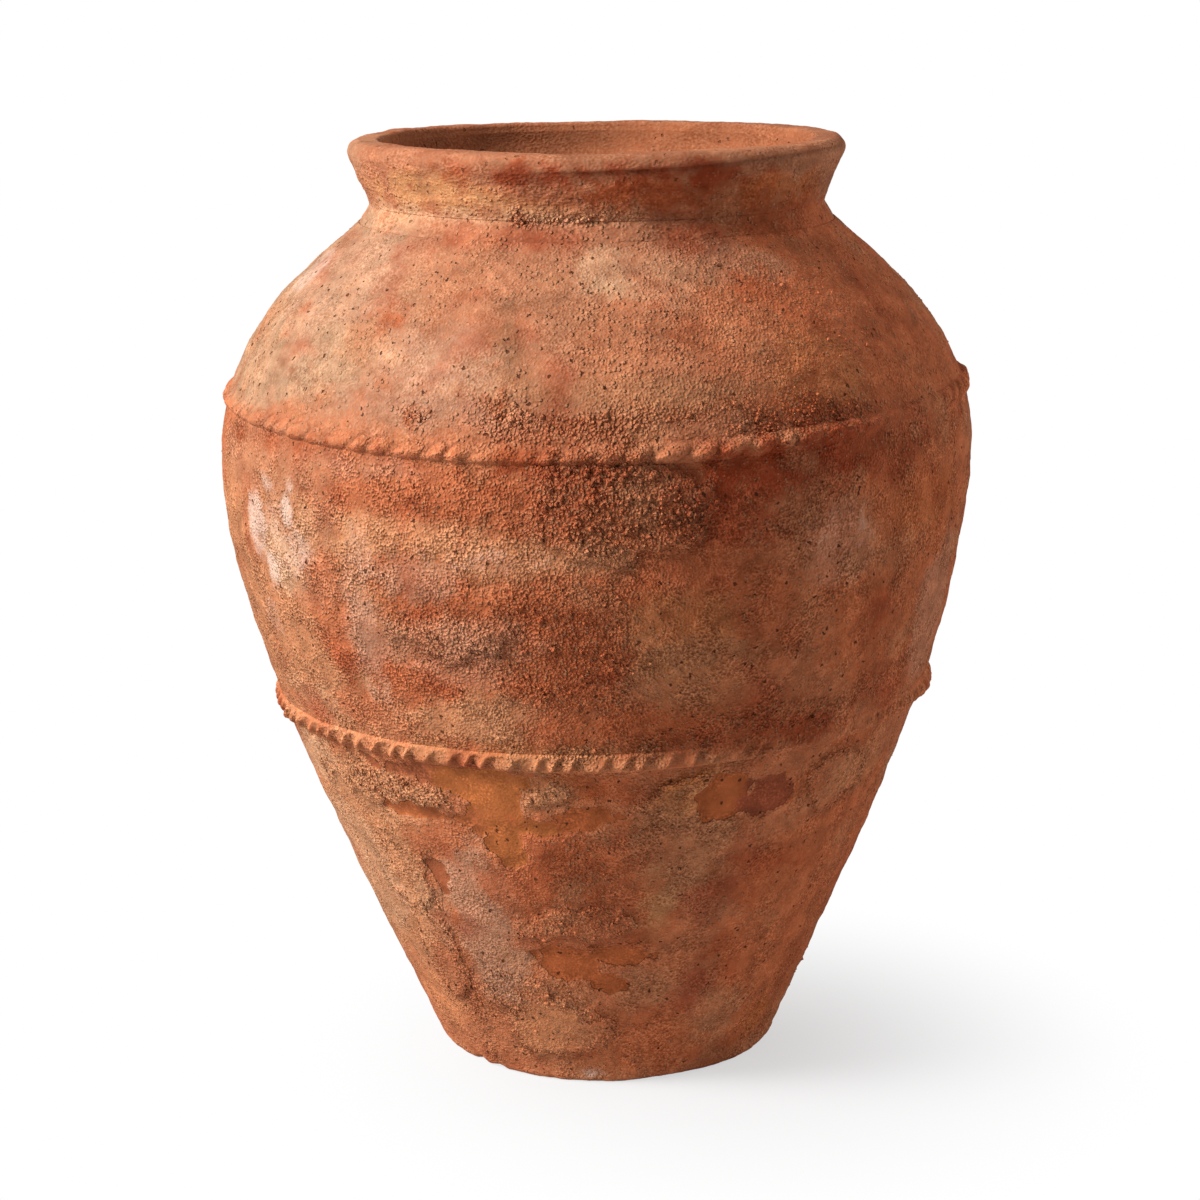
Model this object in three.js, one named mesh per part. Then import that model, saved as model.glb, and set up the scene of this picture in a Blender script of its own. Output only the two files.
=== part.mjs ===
// Terracotta storage jar, hand built in courses that are luted together with slip.
// Millimetres, +Z up. The jar stands on z = 0 around the Z axis, and its front faces -Y.
import * as THREE from "three";
import { ParametricGeometry } from "three/addons/geometries/ParametricGeometry.js";

// Heights, each counted up from the level named before it
const LOWER_COURSE = 246; // ground to the lower seam
const BELLY_RISE = 154; // lower seam to the widest girth
const UPPER_SEAM_RISE = 40; // widest girth to the upper seam
const SHOULDER_RISE = 60; // upper seam to the turn of the shoulder
const LEDGE_RISE = 48; // turn of the shoulder to the ledge that carries the neck
const THROAT_RISE = 12; // ledge to the narrowest part of the neck
const NECK_RISE = 24; // throat to the seam under the rim coil
const RIM_RISE = 16; // rim seam to the top of the lip

// Outer radii, and how far the neck's pieces stand out from the throat
const FOOT_RADIUS = 112.5;
const LOWER_SEAM_RADIUS = 212.5;
const BELLY_RADIUS = 243;
const SHOULDER_RADIUS = 204.7;
const THROAT_RADIUS = 145.7;
const NECK_COIL_REACH = 7.5;
const LIP_SPREAD = 12.7;

// Slope of the outer wall, as radius gained for each millimetre of height
const FOOT_FLARE = 0.43;
const LOWER_SEAM_FLARE = 0.335;
const SHOULDER_FLARE = -0.86;
const LEDGE_FLARE = -1.05;
const NECK_FLARE = 0.42;

// Thicknesses, coils and joints
const FLOOR_THICKNESS = 22;
const WALL = 18;
const NECK_WALL = 18;
const LIP_WIDTH = 20;
const LIP_ROUND = 7;
const LIP_INNER_ROUND = 4;
const FOOT_ROUND = 6;
const FLOOR_COIL_RISE = 26;
const FLOOR_COIL_REACH = 24;
const NECK_COIL_RISE = 10;
const COIL_EDGE = 1.2; // thickness where a coil is smeared out
const SCARF = 10; // height of the bevel where one course laps the next
const SLIP = 0.3; // layer of slip between two pieces

// Rope cordons, pressed with a fingertip
const UPPER_ROPE_WIDTH = 14;
const UPPER_ROPE_HEIGHT = 5.5;
const UPPER_PRESS_PITCH = 17;
const UPPER_ROPE_TILT = 2.2; // rise of the rope's right side over its seam
const UPPER_ROPE_SWAY = 3.5; // dip of the rope's front and back under its seam
const LOWER_ROPE_WIDTH = 12;
const LOWER_ROPE_HEIGHT = 6;
const LOWER_PRESS_PITCH = 13.5;
const LOWER_ROPE_TILT = 4.2;
const ROPE_EDGE = 1; // thickness of the rope where it meets the wall
const PRESS_DEPTH = 0.6; // share of the rope's height that a press takes away
const PRESS_SLANT = 0.45; // lean of each ridge over the rope's width, in presses

// Fineness of the surfaces
const ROUND_STEPS = 56;
const COURSE_STEPS = 6;
const INNER_STEPS = 4;
const ARC_STEPS = 4;
const STEPS_PER_PRESS = 3;

// Levels of the seams and turns
const lowerSeam = LOWER_COURSE;
const girth = lowerSeam + BELLY_RISE;
const upperSeam = girth + UPPER_SEAM_RISE;
const shoulderTurn = upperSeam + SHOULDER_RISE;
const ledge = shoulderTurn + LEDGE_RISE;
const throat = ledge + THROAT_RISE;
const rimSeam = throat + NECK_RISE;
const lipTop = rimSeam + RIM_RISE;
const lipRadius = THROAT_RADIUS + LIP_SPREAD;

// Outer outline of the body below the ledge: level, radius and slope at each turn
const bodyTurns = [
  { z: 0, r: FOOT_RADIUS, slope: FOOT_FLARE },
  { z: lowerSeam, r: LOWER_SEAM_RADIUS, slope: LOWER_SEAM_FLARE },
  { z: girth, r: BELLY_RADIUS, slope: 0 },
  { z: shoulderTurn, r: SHOULDER_RADIUS, slope: SHOULDER_FLARE },
  { z: ledge, r: THROAT_RADIUS + NECK_COIL_REACH, slope: LEDGE_FLARE },
];

// Outer outline of the neck: an upright foot on the ledge, then a flare from the throat to the rim seam
const rimSeamRadius = lipRadius - NECK_FLARE * (RIM_RISE - LIP_ROUND);
const neckTurns = [
  { z: ledge, r: THROAT_RADIUS, slope: 0 },
  { z: throat, r: THROAT_RADIUS, slope: 0 },
  { z: rimSeam, r: rimSeamRadius, slope: NECK_FLARE },
];

// Radius and slope at a level, on the cubic curve that joins the turns below and above it
function outerWall(turns, z) {
  const above = turns.findIndex((turn, i) => i > 0 && (z <= turn.z || i === turns.length - 1));
  const a = turns[above - 1];
  const b = turns[above];
  const rise = b.z - a.z;
  const t = (z - a.z) / rise;
  const bend = rise * (a.slope * t * (1 - t) ** 2 - b.slope * t ** 2 * (1 - t));
  const r = a.r + (b.r - a.r) * t ** 2 * (3 - 2 * t) + bend;
  const climb = (6 * (b.r - a.r) * t * (1 - t)) / rise;
  const slope = climb + a.slope * (1 - t) * (1 - 3 * t) + b.slope * t * (3 * t - 2);
  return { r, slope };
}

// Inner radius: the wall's thickness is measured square to its slope
function innerWall(turns, z, thickness) {
  const { r, slope } = outerWall(turns, z);
  return r - thickness * Math.hypot(1, slope);
}

// Evenly spaced levels from one height to another
function levels(from, to, steps) {
  return Array.from({ length: steps + 1 }, (_, i) => from + ((to - from) * i) / steps);
}

// Points of an arc around a centre, angles in quarter turns
function arc(r, z, radius, from, to) {
  return levels(from, to, ARC_STEPS).map((quarter) => {
    const angle = (quarter * Math.PI) / 2;
    return [r + radius * Math.cos(angle), z + radius * Math.sin(angle)];
  });
}

const jar = new THREE.Group();

function addPiece(name, geometry, color, roughness) {
  const material = new THREE.MeshStandardMaterial({ color, roughness, metalness: 0 });
  const mesh = new THREE.Mesh(geometry, material);
  mesh.name = name;
  jar.add(mesh);
}

// A turned piece: its section, given as [radius, height] points, goes once round the Z axis
function turned(section) {
  const outline = section.map(([r, z]) => new THREE.Vector2(r, z));
  const onAxis = section[0][0] === 0;
  if (!onAxis) outline.push(outline[0].clone());
  return new THREE.LatheGeometry(outline, ROUND_STEPS).rotateX(Math.PI / 2);
}

// One course of wall, between a lower and an upper joint that each have an outer and an inner level
function course(turns, thickness, bottom, top, innerLevels) {
  const outer = levels(bottom.outer, top.outer, COURSE_STEPS).map((z) => [outerWall(turns, z).r, z]);
  const inner = innerLevels.map((z) => [innerWall(turns, z, thickness), z]);
  return turned([...outer, ...inner]);
}

// The bevelled joint on top of a course, and the same joint one layer of slip higher
const scarfTop = (seam) => ({ outer: seam, inner: seam + SCARF });
const scarfFoot = (seam) => ({ outer: seam + SLIP, inner: seam + SCARF + SLIP });
const flatFoot = (level) => ({ outer: level + SLIP, inner: level + SLIP });

// Floor disc with a rounded foot edge
const footEdge = outerWall(bodyTurns, FOOT_ROUND).r;
addPiece(
  "base_slab",
  turned([
    [0, 0],
    ...arc(footEdge - FOOT_ROUND, FOOT_ROUND, FOOT_ROUND, -1, 0),
    [outerWall(bodyTurns, FLOOR_THICKNESS).r, FLOOR_THICKNESS],
    [0, FLOOR_THICKNESS],
  ]),
  0x9c5a3a,
  0.95,
);

// Coil smeared into the inside corner of floor and wall
const floorLevel = FLOOR_THICKNESS + SLIP;
const floorCoilTop = floorLevel + FLOOR_COIL_RISE;
const cornerRadius = innerWall(bodyTurns, floorLevel, WALL) - SLIP;
const coilTopRadius = innerWall(bodyTurns, floorCoilTop, WALL) - SLIP;
const coilToe = cornerRadius - FLOOR_COIL_REACH;
const floorCoilFace = new THREE.QuadraticBezierCurve(
  new THREE.Vector2(coilTopRadius - COIL_EDGE, floorCoilTop),
  new THREE.Vector2(cornerRadius - COIL_EDGE, floorLevel + COIL_EDGE),
  new THREE.Vector2(coilToe, floorLevel + COIL_EDGE),
);
addPiece(
  "floor_seam_coil",
  turned([
    [coilToe, floorLevel],
    [cornerRadius, floorLevel],
    [coilTopRadius, floorCoilTop],
    ...floorCoilFace.getPoints(ARC_STEPS).map((point) => point.toArray()),
  ]),
  0x8f5236,
  0.95,
);

// Conical lower course, from the floor disc to the lower seam
const lowerTop = scarfTop(lowerSeam);
addPiece(
  "lower_wall",
  course(bodyTurns, WALL, flatFoot(FLOOR_THICKNESS), lowerTop, [
    ...levels(lowerTop.inner, floorCoilTop, INNER_STEPS),
    floorLevel,
  ]),
  0xb5734d,
  0.95,
);

// Course with the widest girth, between the two seams
const bellyFoot = scarfFoot(lowerSeam);
const bellyTop = scarfTop(upperSeam);
addPiece(
  "belly_wall",
  course(bodyTurns, WALL, bellyFoot, bellyTop, levels(bellyTop.inner, bellyFoot.inner, INNER_STEPS)),
  0xb06c47,
  0.95,
);

// Course that closes in from the upper seam to the ledge under the neck
const shoulderFoot = scarfFoot(upperSeam);
addPiece(
  "shoulder_wall",
  course(
    bodyTurns,
    WALL,
    shoulderFoot,
    { outer: ledge, inner: ledge },
    levels(ledge, shoulderFoot.inner, COURSE_STEPS),
  ),
  0xc48259,
  0.95,
);

// Flared neck, standing on the ledge
const collarFoot = flatFoot(ledge);
const collarTop = scarfTop(rimSeam);
const collarInner = (z) => innerWall(neckTurns, Math.min(z, rimSeam), NECK_WALL);
addPiece(
  "neck_collar",
  turned([
    [THROAT_RADIUS, collarFoot.outer],
    ...levels(throat, collarTop.outer, ARC_STEPS).map((z) => [outerWall(neckTurns, z).r, z]),
    [collarInner(collarTop.inner), collarTop.inner],
    ...levels(rimSeam, throat, ARC_STEPS).map((z) => [collarInner(z), z]),
    [collarInner(collarFoot.inner), collarFoot.inner],
  ]),
  0xb87549,
  0.95,
);

// Roll of clay in the outside corner of shoulder ledge and neck
const rollBack = THROAT_RADIUS + SLIP;
const rollFoot = collarFoot.outer;
addPiece(
  "neck_seam_coil",
  turned([
    [rollBack, rollFoot],
    [THROAT_RADIUS + NECK_COIL_REACH, rollFoot],
    [rollBack + COIL_EDGE, rollFoot + NECK_COIL_RISE],
    [rollBack, rollFoot + NECK_COIL_RISE],
  ]),
  0xa9683f,
  0.95,
);

// Thick coil that makes the lip
const rimFoot = scarfFoot(rimSeam);
const lipInner = lipRadius - LIP_WIDTH;
addPiece(
  "rim_coil",
  turned([
    [rimSeamRadius, rimFoot.outer],
    ...arc(lipRadius - LIP_ROUND, lipTop - LIP_ROUND, LIP_ROUND, 0, 1),
    ...arc(lipInner + LIP_INNER_ROUND, lipTop - LIP_INNER_ROUND, LIP_INNER_ROUND, 1, 2),
    [collarInner(rimFoot.inner), rimFoot.inner],
  ]),
  0xba7650,
  0.95,
);

// A rope of clay laid over a seam: slanting ridges stand between the finger presses
function ropeCordon(seam, width, height, pressPitch, tilt, sway = 0) {
  const length = 2 * Math.PI * outerWall(bodyTurns, seam).r;
  const presses = Math.round(length / pressPitch);
  const stations = presses * STEPS_PER_PRESS;
  const outerPoints = ARC_STEPS;
  const innerAcross = [1, 0, -1];
  const sectionPoints = outerPoints + innerAcross.length;

  return new ParametricGeometry(
    (u, v, target) => {
      const station = Math.round(u * stations) % stations;
      const point = Math.round(v * sectionPoints) % sectionPoints;
      const outside = point < outerPoints;
      const over = (Math.PI * point) / (outerPoints - 1);
      const across = outside ? -Math.cos(over) : innerAcross[point - outerPoints];

      const press = station / STEPS_PER_PRESS;
      const pressed = (1 - Math.cos(2 * Math.PI * press)) / 2;
      const crown = (height - ROPE_EDGE) * Math.sin(over) * (1 - PRESS_DEPTH * pressed);
      const proud = outside ? ROPE_EDGE + crown : 0;

      const angle = (2 * Math.PI * (press + (across * PRESS_SLANT) / 2)) / presses;
      const laid = seam + tilt * Math.cos(angle) + sway * Math.cos(2 * angle);
      const z = laid + (across * width) / 2;
      const r = outerWall(bodyTurns, z).r + SLIP + proud;
      target.set(r * Math.cos(angle), r * Math.sin(angle), z);
    },
    stations,
    sectionPoints,
  );
}

addPiece(
  "lower_rope_cordon",
  ropeCordon(lowerSeam, LOWER_ROPE_WIDTH, LOWER_ROPE_HEIGHT, LOWER_PRESS_PITCH, LOWER_ROPE_TILT),
  0xb06a43,
  0.95,
);
addPiece(
  "upper_rope_cordon",
  ropeCordon(
    upperSeam,
    UPPER_ROPE_WIDTH,
    UPPER_ROPE_HEIGHT,
    UPPER_PRESS_PITCH,
    UPPER_ROPE_TILT,
    UPPER_ROPE_SWAY,
  ),
  0xb97450,
  0.95,
);

export default jar;
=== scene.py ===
# %% [markdown]
# # A weathered terracotta jar
# This storage jar was built up by hand: a flat slab for the foot, three courses of wall, a flared
# neck and a thick lip coil, with two finger-pressed ropes of clay laid over the seams. Years in the
# ground and in the open left a sandy crust, iron stains, lime bloom and bare flaked patches on it.
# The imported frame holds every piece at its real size. Here each piece gets its fired, weathered skin.

# %% Load the frame
import math

import bpy
import numpy as np
from mathutils import Matrix, Vector


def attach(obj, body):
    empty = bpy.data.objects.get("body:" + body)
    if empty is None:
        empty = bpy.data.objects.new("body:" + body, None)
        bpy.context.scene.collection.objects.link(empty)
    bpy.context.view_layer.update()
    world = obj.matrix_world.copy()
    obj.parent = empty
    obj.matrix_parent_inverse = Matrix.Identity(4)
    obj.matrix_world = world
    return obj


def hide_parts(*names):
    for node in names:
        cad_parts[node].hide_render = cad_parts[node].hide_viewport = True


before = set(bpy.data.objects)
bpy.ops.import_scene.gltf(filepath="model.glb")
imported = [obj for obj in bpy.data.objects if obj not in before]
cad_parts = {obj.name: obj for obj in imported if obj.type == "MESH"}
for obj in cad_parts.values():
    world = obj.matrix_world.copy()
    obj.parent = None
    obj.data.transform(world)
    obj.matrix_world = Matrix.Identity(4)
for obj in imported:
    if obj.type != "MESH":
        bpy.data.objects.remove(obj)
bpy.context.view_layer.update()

scene = bpy.context.scene
print("nodes in the frame:", ", ".join(sorted(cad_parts)))

# %% [markdown]
# ## Camera
# The photograph looks slightly down on the jar from about 1.8 m. A lens is described by its focal
# length and the width of the sensor behind it, so the focal length in pixels is turned into
# millimetres. The small roll is the tilt of the view.

# %% Camera
FRAME_PIXELS = 1200
FOCAL_PIXELS = 2768
SENSOR_MM = 36
CAMERA_PLACE = (0, -1.788, 0.7248)
LOOK_DOWN = 13.52
ROLL = -0.55

lens = bpy.data.cameras.new("camera")
lens.sensor_width = SENSOR_MM
lens.lens = FOCAL_PIXELS * SENSOR_MM / FRAME_PIXELS
camera = bpy.data.objects.new("camera", lens)
scene.collection.objects.link(camera)
tilt = Matrix.Rotation(math.radians(90 - LOOK_DOWN), 4, "X")
camera.matrix_world = Matrix.Translation(CAMERA_PLACE) @ tilt @ Matrix.Rotation(math.radians(ROLL), 4, "Z")
scene.camera = camera
scene.view_settings.view_transform = "Standard"
print(f"lens {lens.lens:.1f} mm")

# %% [markdown]
# ## Shader arithmetic
# A material is a graph of nodes, and a long graph is hard to read as a list of links. The small class
# below wraps one socket, so that sums of values can be written as Python expressions. Each operator
# adds one Math node, and the method node() adds any other kind.


# %% A socket that takes part in sums
class Wire:
    """A node socket in Python sums: a + b, a - b and a * b each add one Math node to the tree."""

    def __init__(self, tree, socket=None):
        self.tree = tree
        self.socket = socket

    def node(self, kind, settings, inputs, output=0):
        """Adds a node: its settings are set first, then each socket gets a value or a link."""
        made = self.tree.nodes.new(kind)
        for name, value in settings.items():
            setattr(made, name, value)
        for name, value in inputs.items():
            if isinstance(value, Wire):
                self.tree.links.new(value.socket, made.inputs[name])
            else:
                made.inputs[name].default_value = value
        return Wire(self.tree, made.outputs[output]) if made.outputs else made

    def math(self, operation, first, second):
        return self.node("ShaderNodeMath", {"operation": operation}, {0: first, 1: second})

    def __add__(self, other):
        return self.math("ADD", self, other)

    def __sub__(self, other):
        return self.math("SUBTRACT", self, other)

    def __rsub__(self, other):
        return self.math("SUBTRACT", other, self)

    def __mul__(self, other):
        return self.math("MULTIPLY", self, other)

    __radd__ = __add__
    __rmul__ = __mul__

    def rise(self, low, high):
        """0 below low, 1 above high and a smooth step between them; falls where low is above high."""
        limits = {"Value": self, "From Min": low, "From Max": high}
        return self.node("ShaderNodeMapRange", {"interpolation_type": "SMOOTHSTEP"}, limits)

    def toward(self, colour, share):
        """This colour mixed with another one by the given share."""
        return self.node("ShaderNodeMix", {"data_type": "RGBA"}, {0: share, 6: self, 7: colour}, 2)

    def stained(self, colour, share):
        """This colour multiplied by another one by the given share, as a thin wash of stain does."""
        wash = {"data_type": "RGBA", "blend_type": "MULTIPLY"}
        return self.node("ShaderNodeMix", wash, {0: share, 6: self, 7: colour}, 2)

    def times(self, amount):
        """This colour or vector scaled by one amount."""
        return self.node("ShaderNodeVectorMath", {"operation": "SCALE"}, {0: self, "Scale": amount})


def new_material(name):
    """An empty material and the wire that its nodes are added with."""
    material = bpy.data.materials.new(name)
    material.use_nodes = True
    material.node_tree.nodes.clear()
    return material, Wire(material.node_tree)


def solid_colour(red, green, blue):
    """A colour as a shader socket takes it."""
    return (red, green, blue, 1)


def grey(level):
    """A neutral colour as a shader socket takes it."""
    return solid_colour(level, level, level)


# %% [markdown]
# ## Studio
# The jar stands on a white sweep of paper under one large soft light from the left and a weak fill
# from the right. The paper bounces light back on the jar as real paper would, but the camera sees it
# nearly white, and wholly white further away from the shade at the jar's foot. Light Path tells the
# camera's own rays from the others, so the backdrop can be white without any more light on the clay,
# and the floor still keeps the jar's soft shadow.

# %% Floor and backdrop
WHITE = grey(1)
PAPER = 0.60
PAPER_GLOW = 0.54
PAPER_SHADE = 0.285
SHADE_SPOT = (0.08, -0.05, 0)
SWEEP_START = -0.02
SWEEP_END = 0.30
FLOOR_REACH = 12
AMBIENT = 0.20


def seen_directly(wire):
    """1 on rays of the camera and on mirrored or refracted ones, 0 on the rays that carry light."""
    rays = {}
    for name in ("Is Camera Ray", "Is Glossy Ray", "Is Transmission Ray"):
        rays[name] = wire.node("ShaderNodeLightPath", {}, {}, name)
    either = wire.math("MAXIMUM", rays["Is Camera Ray"], rays["Is Glossy Ray"])
    return wire.math("MAXIMUM", either, rays["Is Transmission Ray"])


def paper_material():
    """Diffuse paper for the light; for the eye a glow plus a little shade, all white further off."""
    material, wire = new_material("paper")
    place = wire.node("ShaderNodeTexCoord", {}, {}, "Object")
    away = wire.node("ShaderNodeVectorMath", {"operation": "DISTANCE"}, {0: place, 1: SHADE_SPOT}, 1)
    far = away.rise(SWEEP_START, SWEEP_END)
    paper = wire.node("ShaderNodeBsdfDiffuse", {}, {"Color": grey(PAPER)})
    shade = wire.node("ShaderNodeBsdfDiffuse", {}, {"Color": grey(PAPER_SHADE)})
    glow = wire.node("ShaderNodeEmission", {}, {"Color": WHITE, "Strength": PAPER_GLOW})
    white = wire.node("ShaderNodeEmission", {}, {"Color": WHITE, "Strength": 1.0})
    near = wire.node("ShaderNodeAddShader", {}, {0: glow, 1: shade})
    eye = wire.node("ShaderNodeMixShader", {}, {0: far, 1: near, 2: white})
    both = wire.node("ShaderNodeMixShader", {}, {0: seen_directly(wire), 1: paper, 2: eye})
    wire.node("ShaderNodeOutputMaterial", {}, {"Surface": both})
    return material


corners = [(x * FLOOR_REACH, y * FLOOR_REACH, 0) for x, y in ((-1, -1), (1, -1), (1, 1), (-1, 1))]
floor_mesh = bpy.data.meshes.new("floor")
floor_mesh.from_pydata(corners, [], [(0, 1, 2, 3)])
floor_mesh.materials.append(paper_material())
floor = bpy.data.objects.new("floor", floor_mesh)
scene.collection.objects.link(floor)

world = bpy.data.worlds.new("studio")
world.use_nodes = True
world.node_tree.nodes.clear()
sky = Wire(world.node_tree)
ambient = sky.node("ShaderNodeBackground", {}, {"Color": WHITE, "Strength": AMBIENT})
backdrop = sky.node("ShaderNodeBackground", {}, {"Color": WHITE, "Strength": 1.0})
seen = sky.node("ShaderNodeMixShader", {}, {0: seen_directly(sky), 1: ambient, 2: backdrop})
sky.node("ShaderNodeOutputWorld", {}, {"Surface": seen})
scene.world = world
print("floor and backdrop are white for the camera")

# %% Lights
LIGHT_TARGET = Vector((0, 0, 0.33))


def soft_light(name, azimuth, elevation, distance, width, height, power):
    """A rectangular light that faces the jar; azimuth counts from the camera's side to the left."""
    lamp = bpy.data.lights.new(name, "AREA")
    lamp.shape = "RECTANGLE"
    lamp.size = width
    lamp.size_y = height
    lamp.energy = power
    light = bpy.data.objects.new(name, lamp)
    turn = math.radians(azimuth)
    climb = math.radians(elevation)
    flat = math.cos(climb)
    toward_light = Vector((-math.sin(turn) * flat, -math.cos(turn) * flat, math.sin(climb)))
    light.location = LIGHT_TARGET + toward_light * distance
    light.rotation_euler = toward_light.to_track_quat("Z", "Y").to_euler()
    scene.collection.objects.link(light)
    print(f"{name}: {power} W at {azimuth} degrees")


soft_light("key", azimuth=64, elevation=37.5, distance=2.6, width=0.8, height=0.9, power=104)
soft_light("fill", azimuth=-100, elevation=22, distance=3.0, width=2.0, height=2.0, power=31)

# %% [markdown]
# ## The jar's outline
# The body is a surface of revolution, so one curve carries its whole form. A cubic Hermite curve goes
# through a few turns of the outline, each given by its height, its radius and its slope, and it stays
# smooth where two stretches meet. The wall's inner face lies one wall thickness behind it, measured
# square to the slope.

# %% Outline of the outer wall
LOWER_SEAM = 0.246
GIRTH = 0.400
UPPER_SEAM = 0.440
LEDGE = 0.548
THROAT = 0.5587
RIM_SEAM = 0.584
LIP_TOP = 0.600
FLOOR_LEVEL = 0.022
WALL = 0.018
SCARF = 0.010

#                    height      radius  slope
TURNS = np.array([
    (0.0,        0.1125, 0.43),
    (LOWER_SEAM, 0.2125, 0.335),
    (GIRTH,      0.2430, 0.0),
    (0.500,      0.2047, -0.86),
    (LEDGE,      0.1532, -1.05),
    (0.5529,     0.1480, -1.05),
    (THROAT,     0.1456, 0.0),
    (0.5618,     0.1462, 0.42),
    (RIM_SEAM,   0.1555, 0.42),
    (LIP_TOP,    0.1622, 0.42),
])


def outline(height):
    """Radius and slope at each height, on the cubic Hermite curve through the turns."""
    height = np.asarray(height, float)
    above = np.clip(np.searchsorted(TURNS[:, 0], height), 1, len(TURNS) - 1)
    low_z, low_r, low_slope = np.moveaxis(TURNS[above - 1], -1, 0)
    high_z, high_r, high_slope = np.moveaxis(TURNS[above], -1, 0)
    rise = high_z - low_z
    t = (height - low_z) / rise
    bend = rise * (low_slope * t * (1 - t) ** 2 - high_slope * t**2 * (1 - t))
    radius = low_r + (high_r - low_r) * t**2 * (3 - 2 * t) + bend
    climb = 6 * (high_r - low_r) * t * (1 - t) / rise
    slope = climb + low_slope * (1 - t) * (1 - 3 * t) + high_slope * t * (3 * t - 2)
    return radius, slope


def inner_radius(height):
    """Radius of the wall's inner face, one wall thickness behind the outer one."""
    radius, slope = outline(height)
    return radius - WALL * np.hypot(1, slope)


print(f"widest {2 * outline(GIRTH)[0]:.3f} m, foot {2 * outline(0)[0]:.3f} m")

# %% [markdown]
# ## Random fields
# Clay, crust and stains are uneven in the same way at every size, so they are drawn with gradient
# noise: a cubic lattice with a random slope at every corner, blended smoothly in between. Summing the
# field at halved sizes gives clouds. The slopes come from a seeded generator, so every run is alike.

# %% Gradient noise
SLOPES = 256
draw = np.random.default_rng(41)
mixing = draw.permutation(SLOPES)
slopes = draw.normal(size=(SLOPES, 3)).astype(np.float32)
slopes /= np.linalg.norm(slopes, axis=1, keepdims=True)
FIELD_GAIN = 1.5


def field(points, size):
    """Smooth random values, mostly from -1 to 1, on a lattice of the given cell size in metres.
    Each corner's slope, times the way to it, is blended by 6 t^5 - 15 t^4 + 10 t^3 on each axis."""
    place = points / size
    cell = np.floor(place).astype(np.int64)
    t = (place - cell).astype(np.float32)
    fade = t**3 * (10 + t * (6 * t - 15))
    total = np.zeros(points.shape[:-1], np.float32)
    for corner in np.ndindex(2, 2, 2):
        x, y, z = np.moveaxis((cell + corner) % SLOPES, -1, 0)
        pick = mixing[(mixing[(mixing[x] + y) % SLOPES] + z) % SLOPES]
        weight = np.where(corner, fade, 1 - fade).prod(axis=-1)
        total += weight * ((t - np.array(corner, np.float32)) * slopes[pick]).sum(axis=-1)
    return total * FIELD_GAIN


def clouds(points, size, octaves, shift=0.0):
    """The field summed at halved sizes, each with half the weight of the one before."""
    return sum(0.5**i * field(points + shift + 7.3 * i, size * 0.5**i) for i in range(octaves))


def smooth_step(value):
    """0 below 0, 1 above 1 and 3 t^2 - 2 t^3 between them."""
    t = np.clip(value, 0, 1)
    return t * t * (3 - 2 * t)


def bell(angle, middle, width):
    """1 at an angle and falling to 0 on both sides of it, as a bell curve does."""
    return np.exp(-(((angle - middle) / width) ** 2))


sample = clouds(draw.uniform(-0.2, 0.2, (2000, 3)), 0.05, 3)
print(f"clouds run from {sample.min():.2f} to {sample.max():.2f}")

# %% [markdown]
# ## Weathering map
# What time did to the jar is drawn as patches on its skin. Each patch is an oval given by its angle
# from the front in degrees (right is positive), its height in millimetres and its half sizes, and the
# clouds push its edge about so that none looks like an oval. Stains tint the crust. Bare patches are
# places where the crust has flaked off the smooth body. Lime is a pale bloom, and grit is crumbs.

# %% Clay colours
PEACH = (0.388, 0.230, 0.137)
SANDY = (0.408, 0.172, 0.090)
SIENNA = (0.499, 0.136, 0.053)
OCHRE_PEACH = (0.555, 0.269, 0.120)
IRON = (0.275, 0.043, 0.014)
RUST = (0.387, 0.111, 0.046)
BRICK = (0.432, 0.117, 0.047)
EARTH = (0.440, 0.195, 0.094)
TAN = (0.525, 0.234, 0.114)
OCHRE = (0.510, 0.160, 0.045)
ORANGE = (0.50, 0.142, 0.050)
PURPLE = (0.331, 0.079, 0.035)
MAUVE = (0.450, 0.225, 0.135)
CREAM = (0.560, 0.318, 0.182)
PINK = (0.480, 0.255, 0.160)
SMUDGE = (0.238, 0.111, 0.057)
OLIVE = (0.490, 0.175, 0.067)
UMBER = (0.318, 0.077, 0.028)
LIME = (0.651, 0.493, 0.405)
MAROON = (0.318, 0.085, 0.039)
ROSE = (0.587, 0.235, 0.129)
HONEY = (0.47, 0.140, 0.042)
AMBER = (0.473, 0.123, 0.040)
EMBER = (0.40, 0.095, 0.033)
APRICOT = (0.62, 0.25, 0.112)
CLAY = (0.50, 0.178, 0.083)

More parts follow.
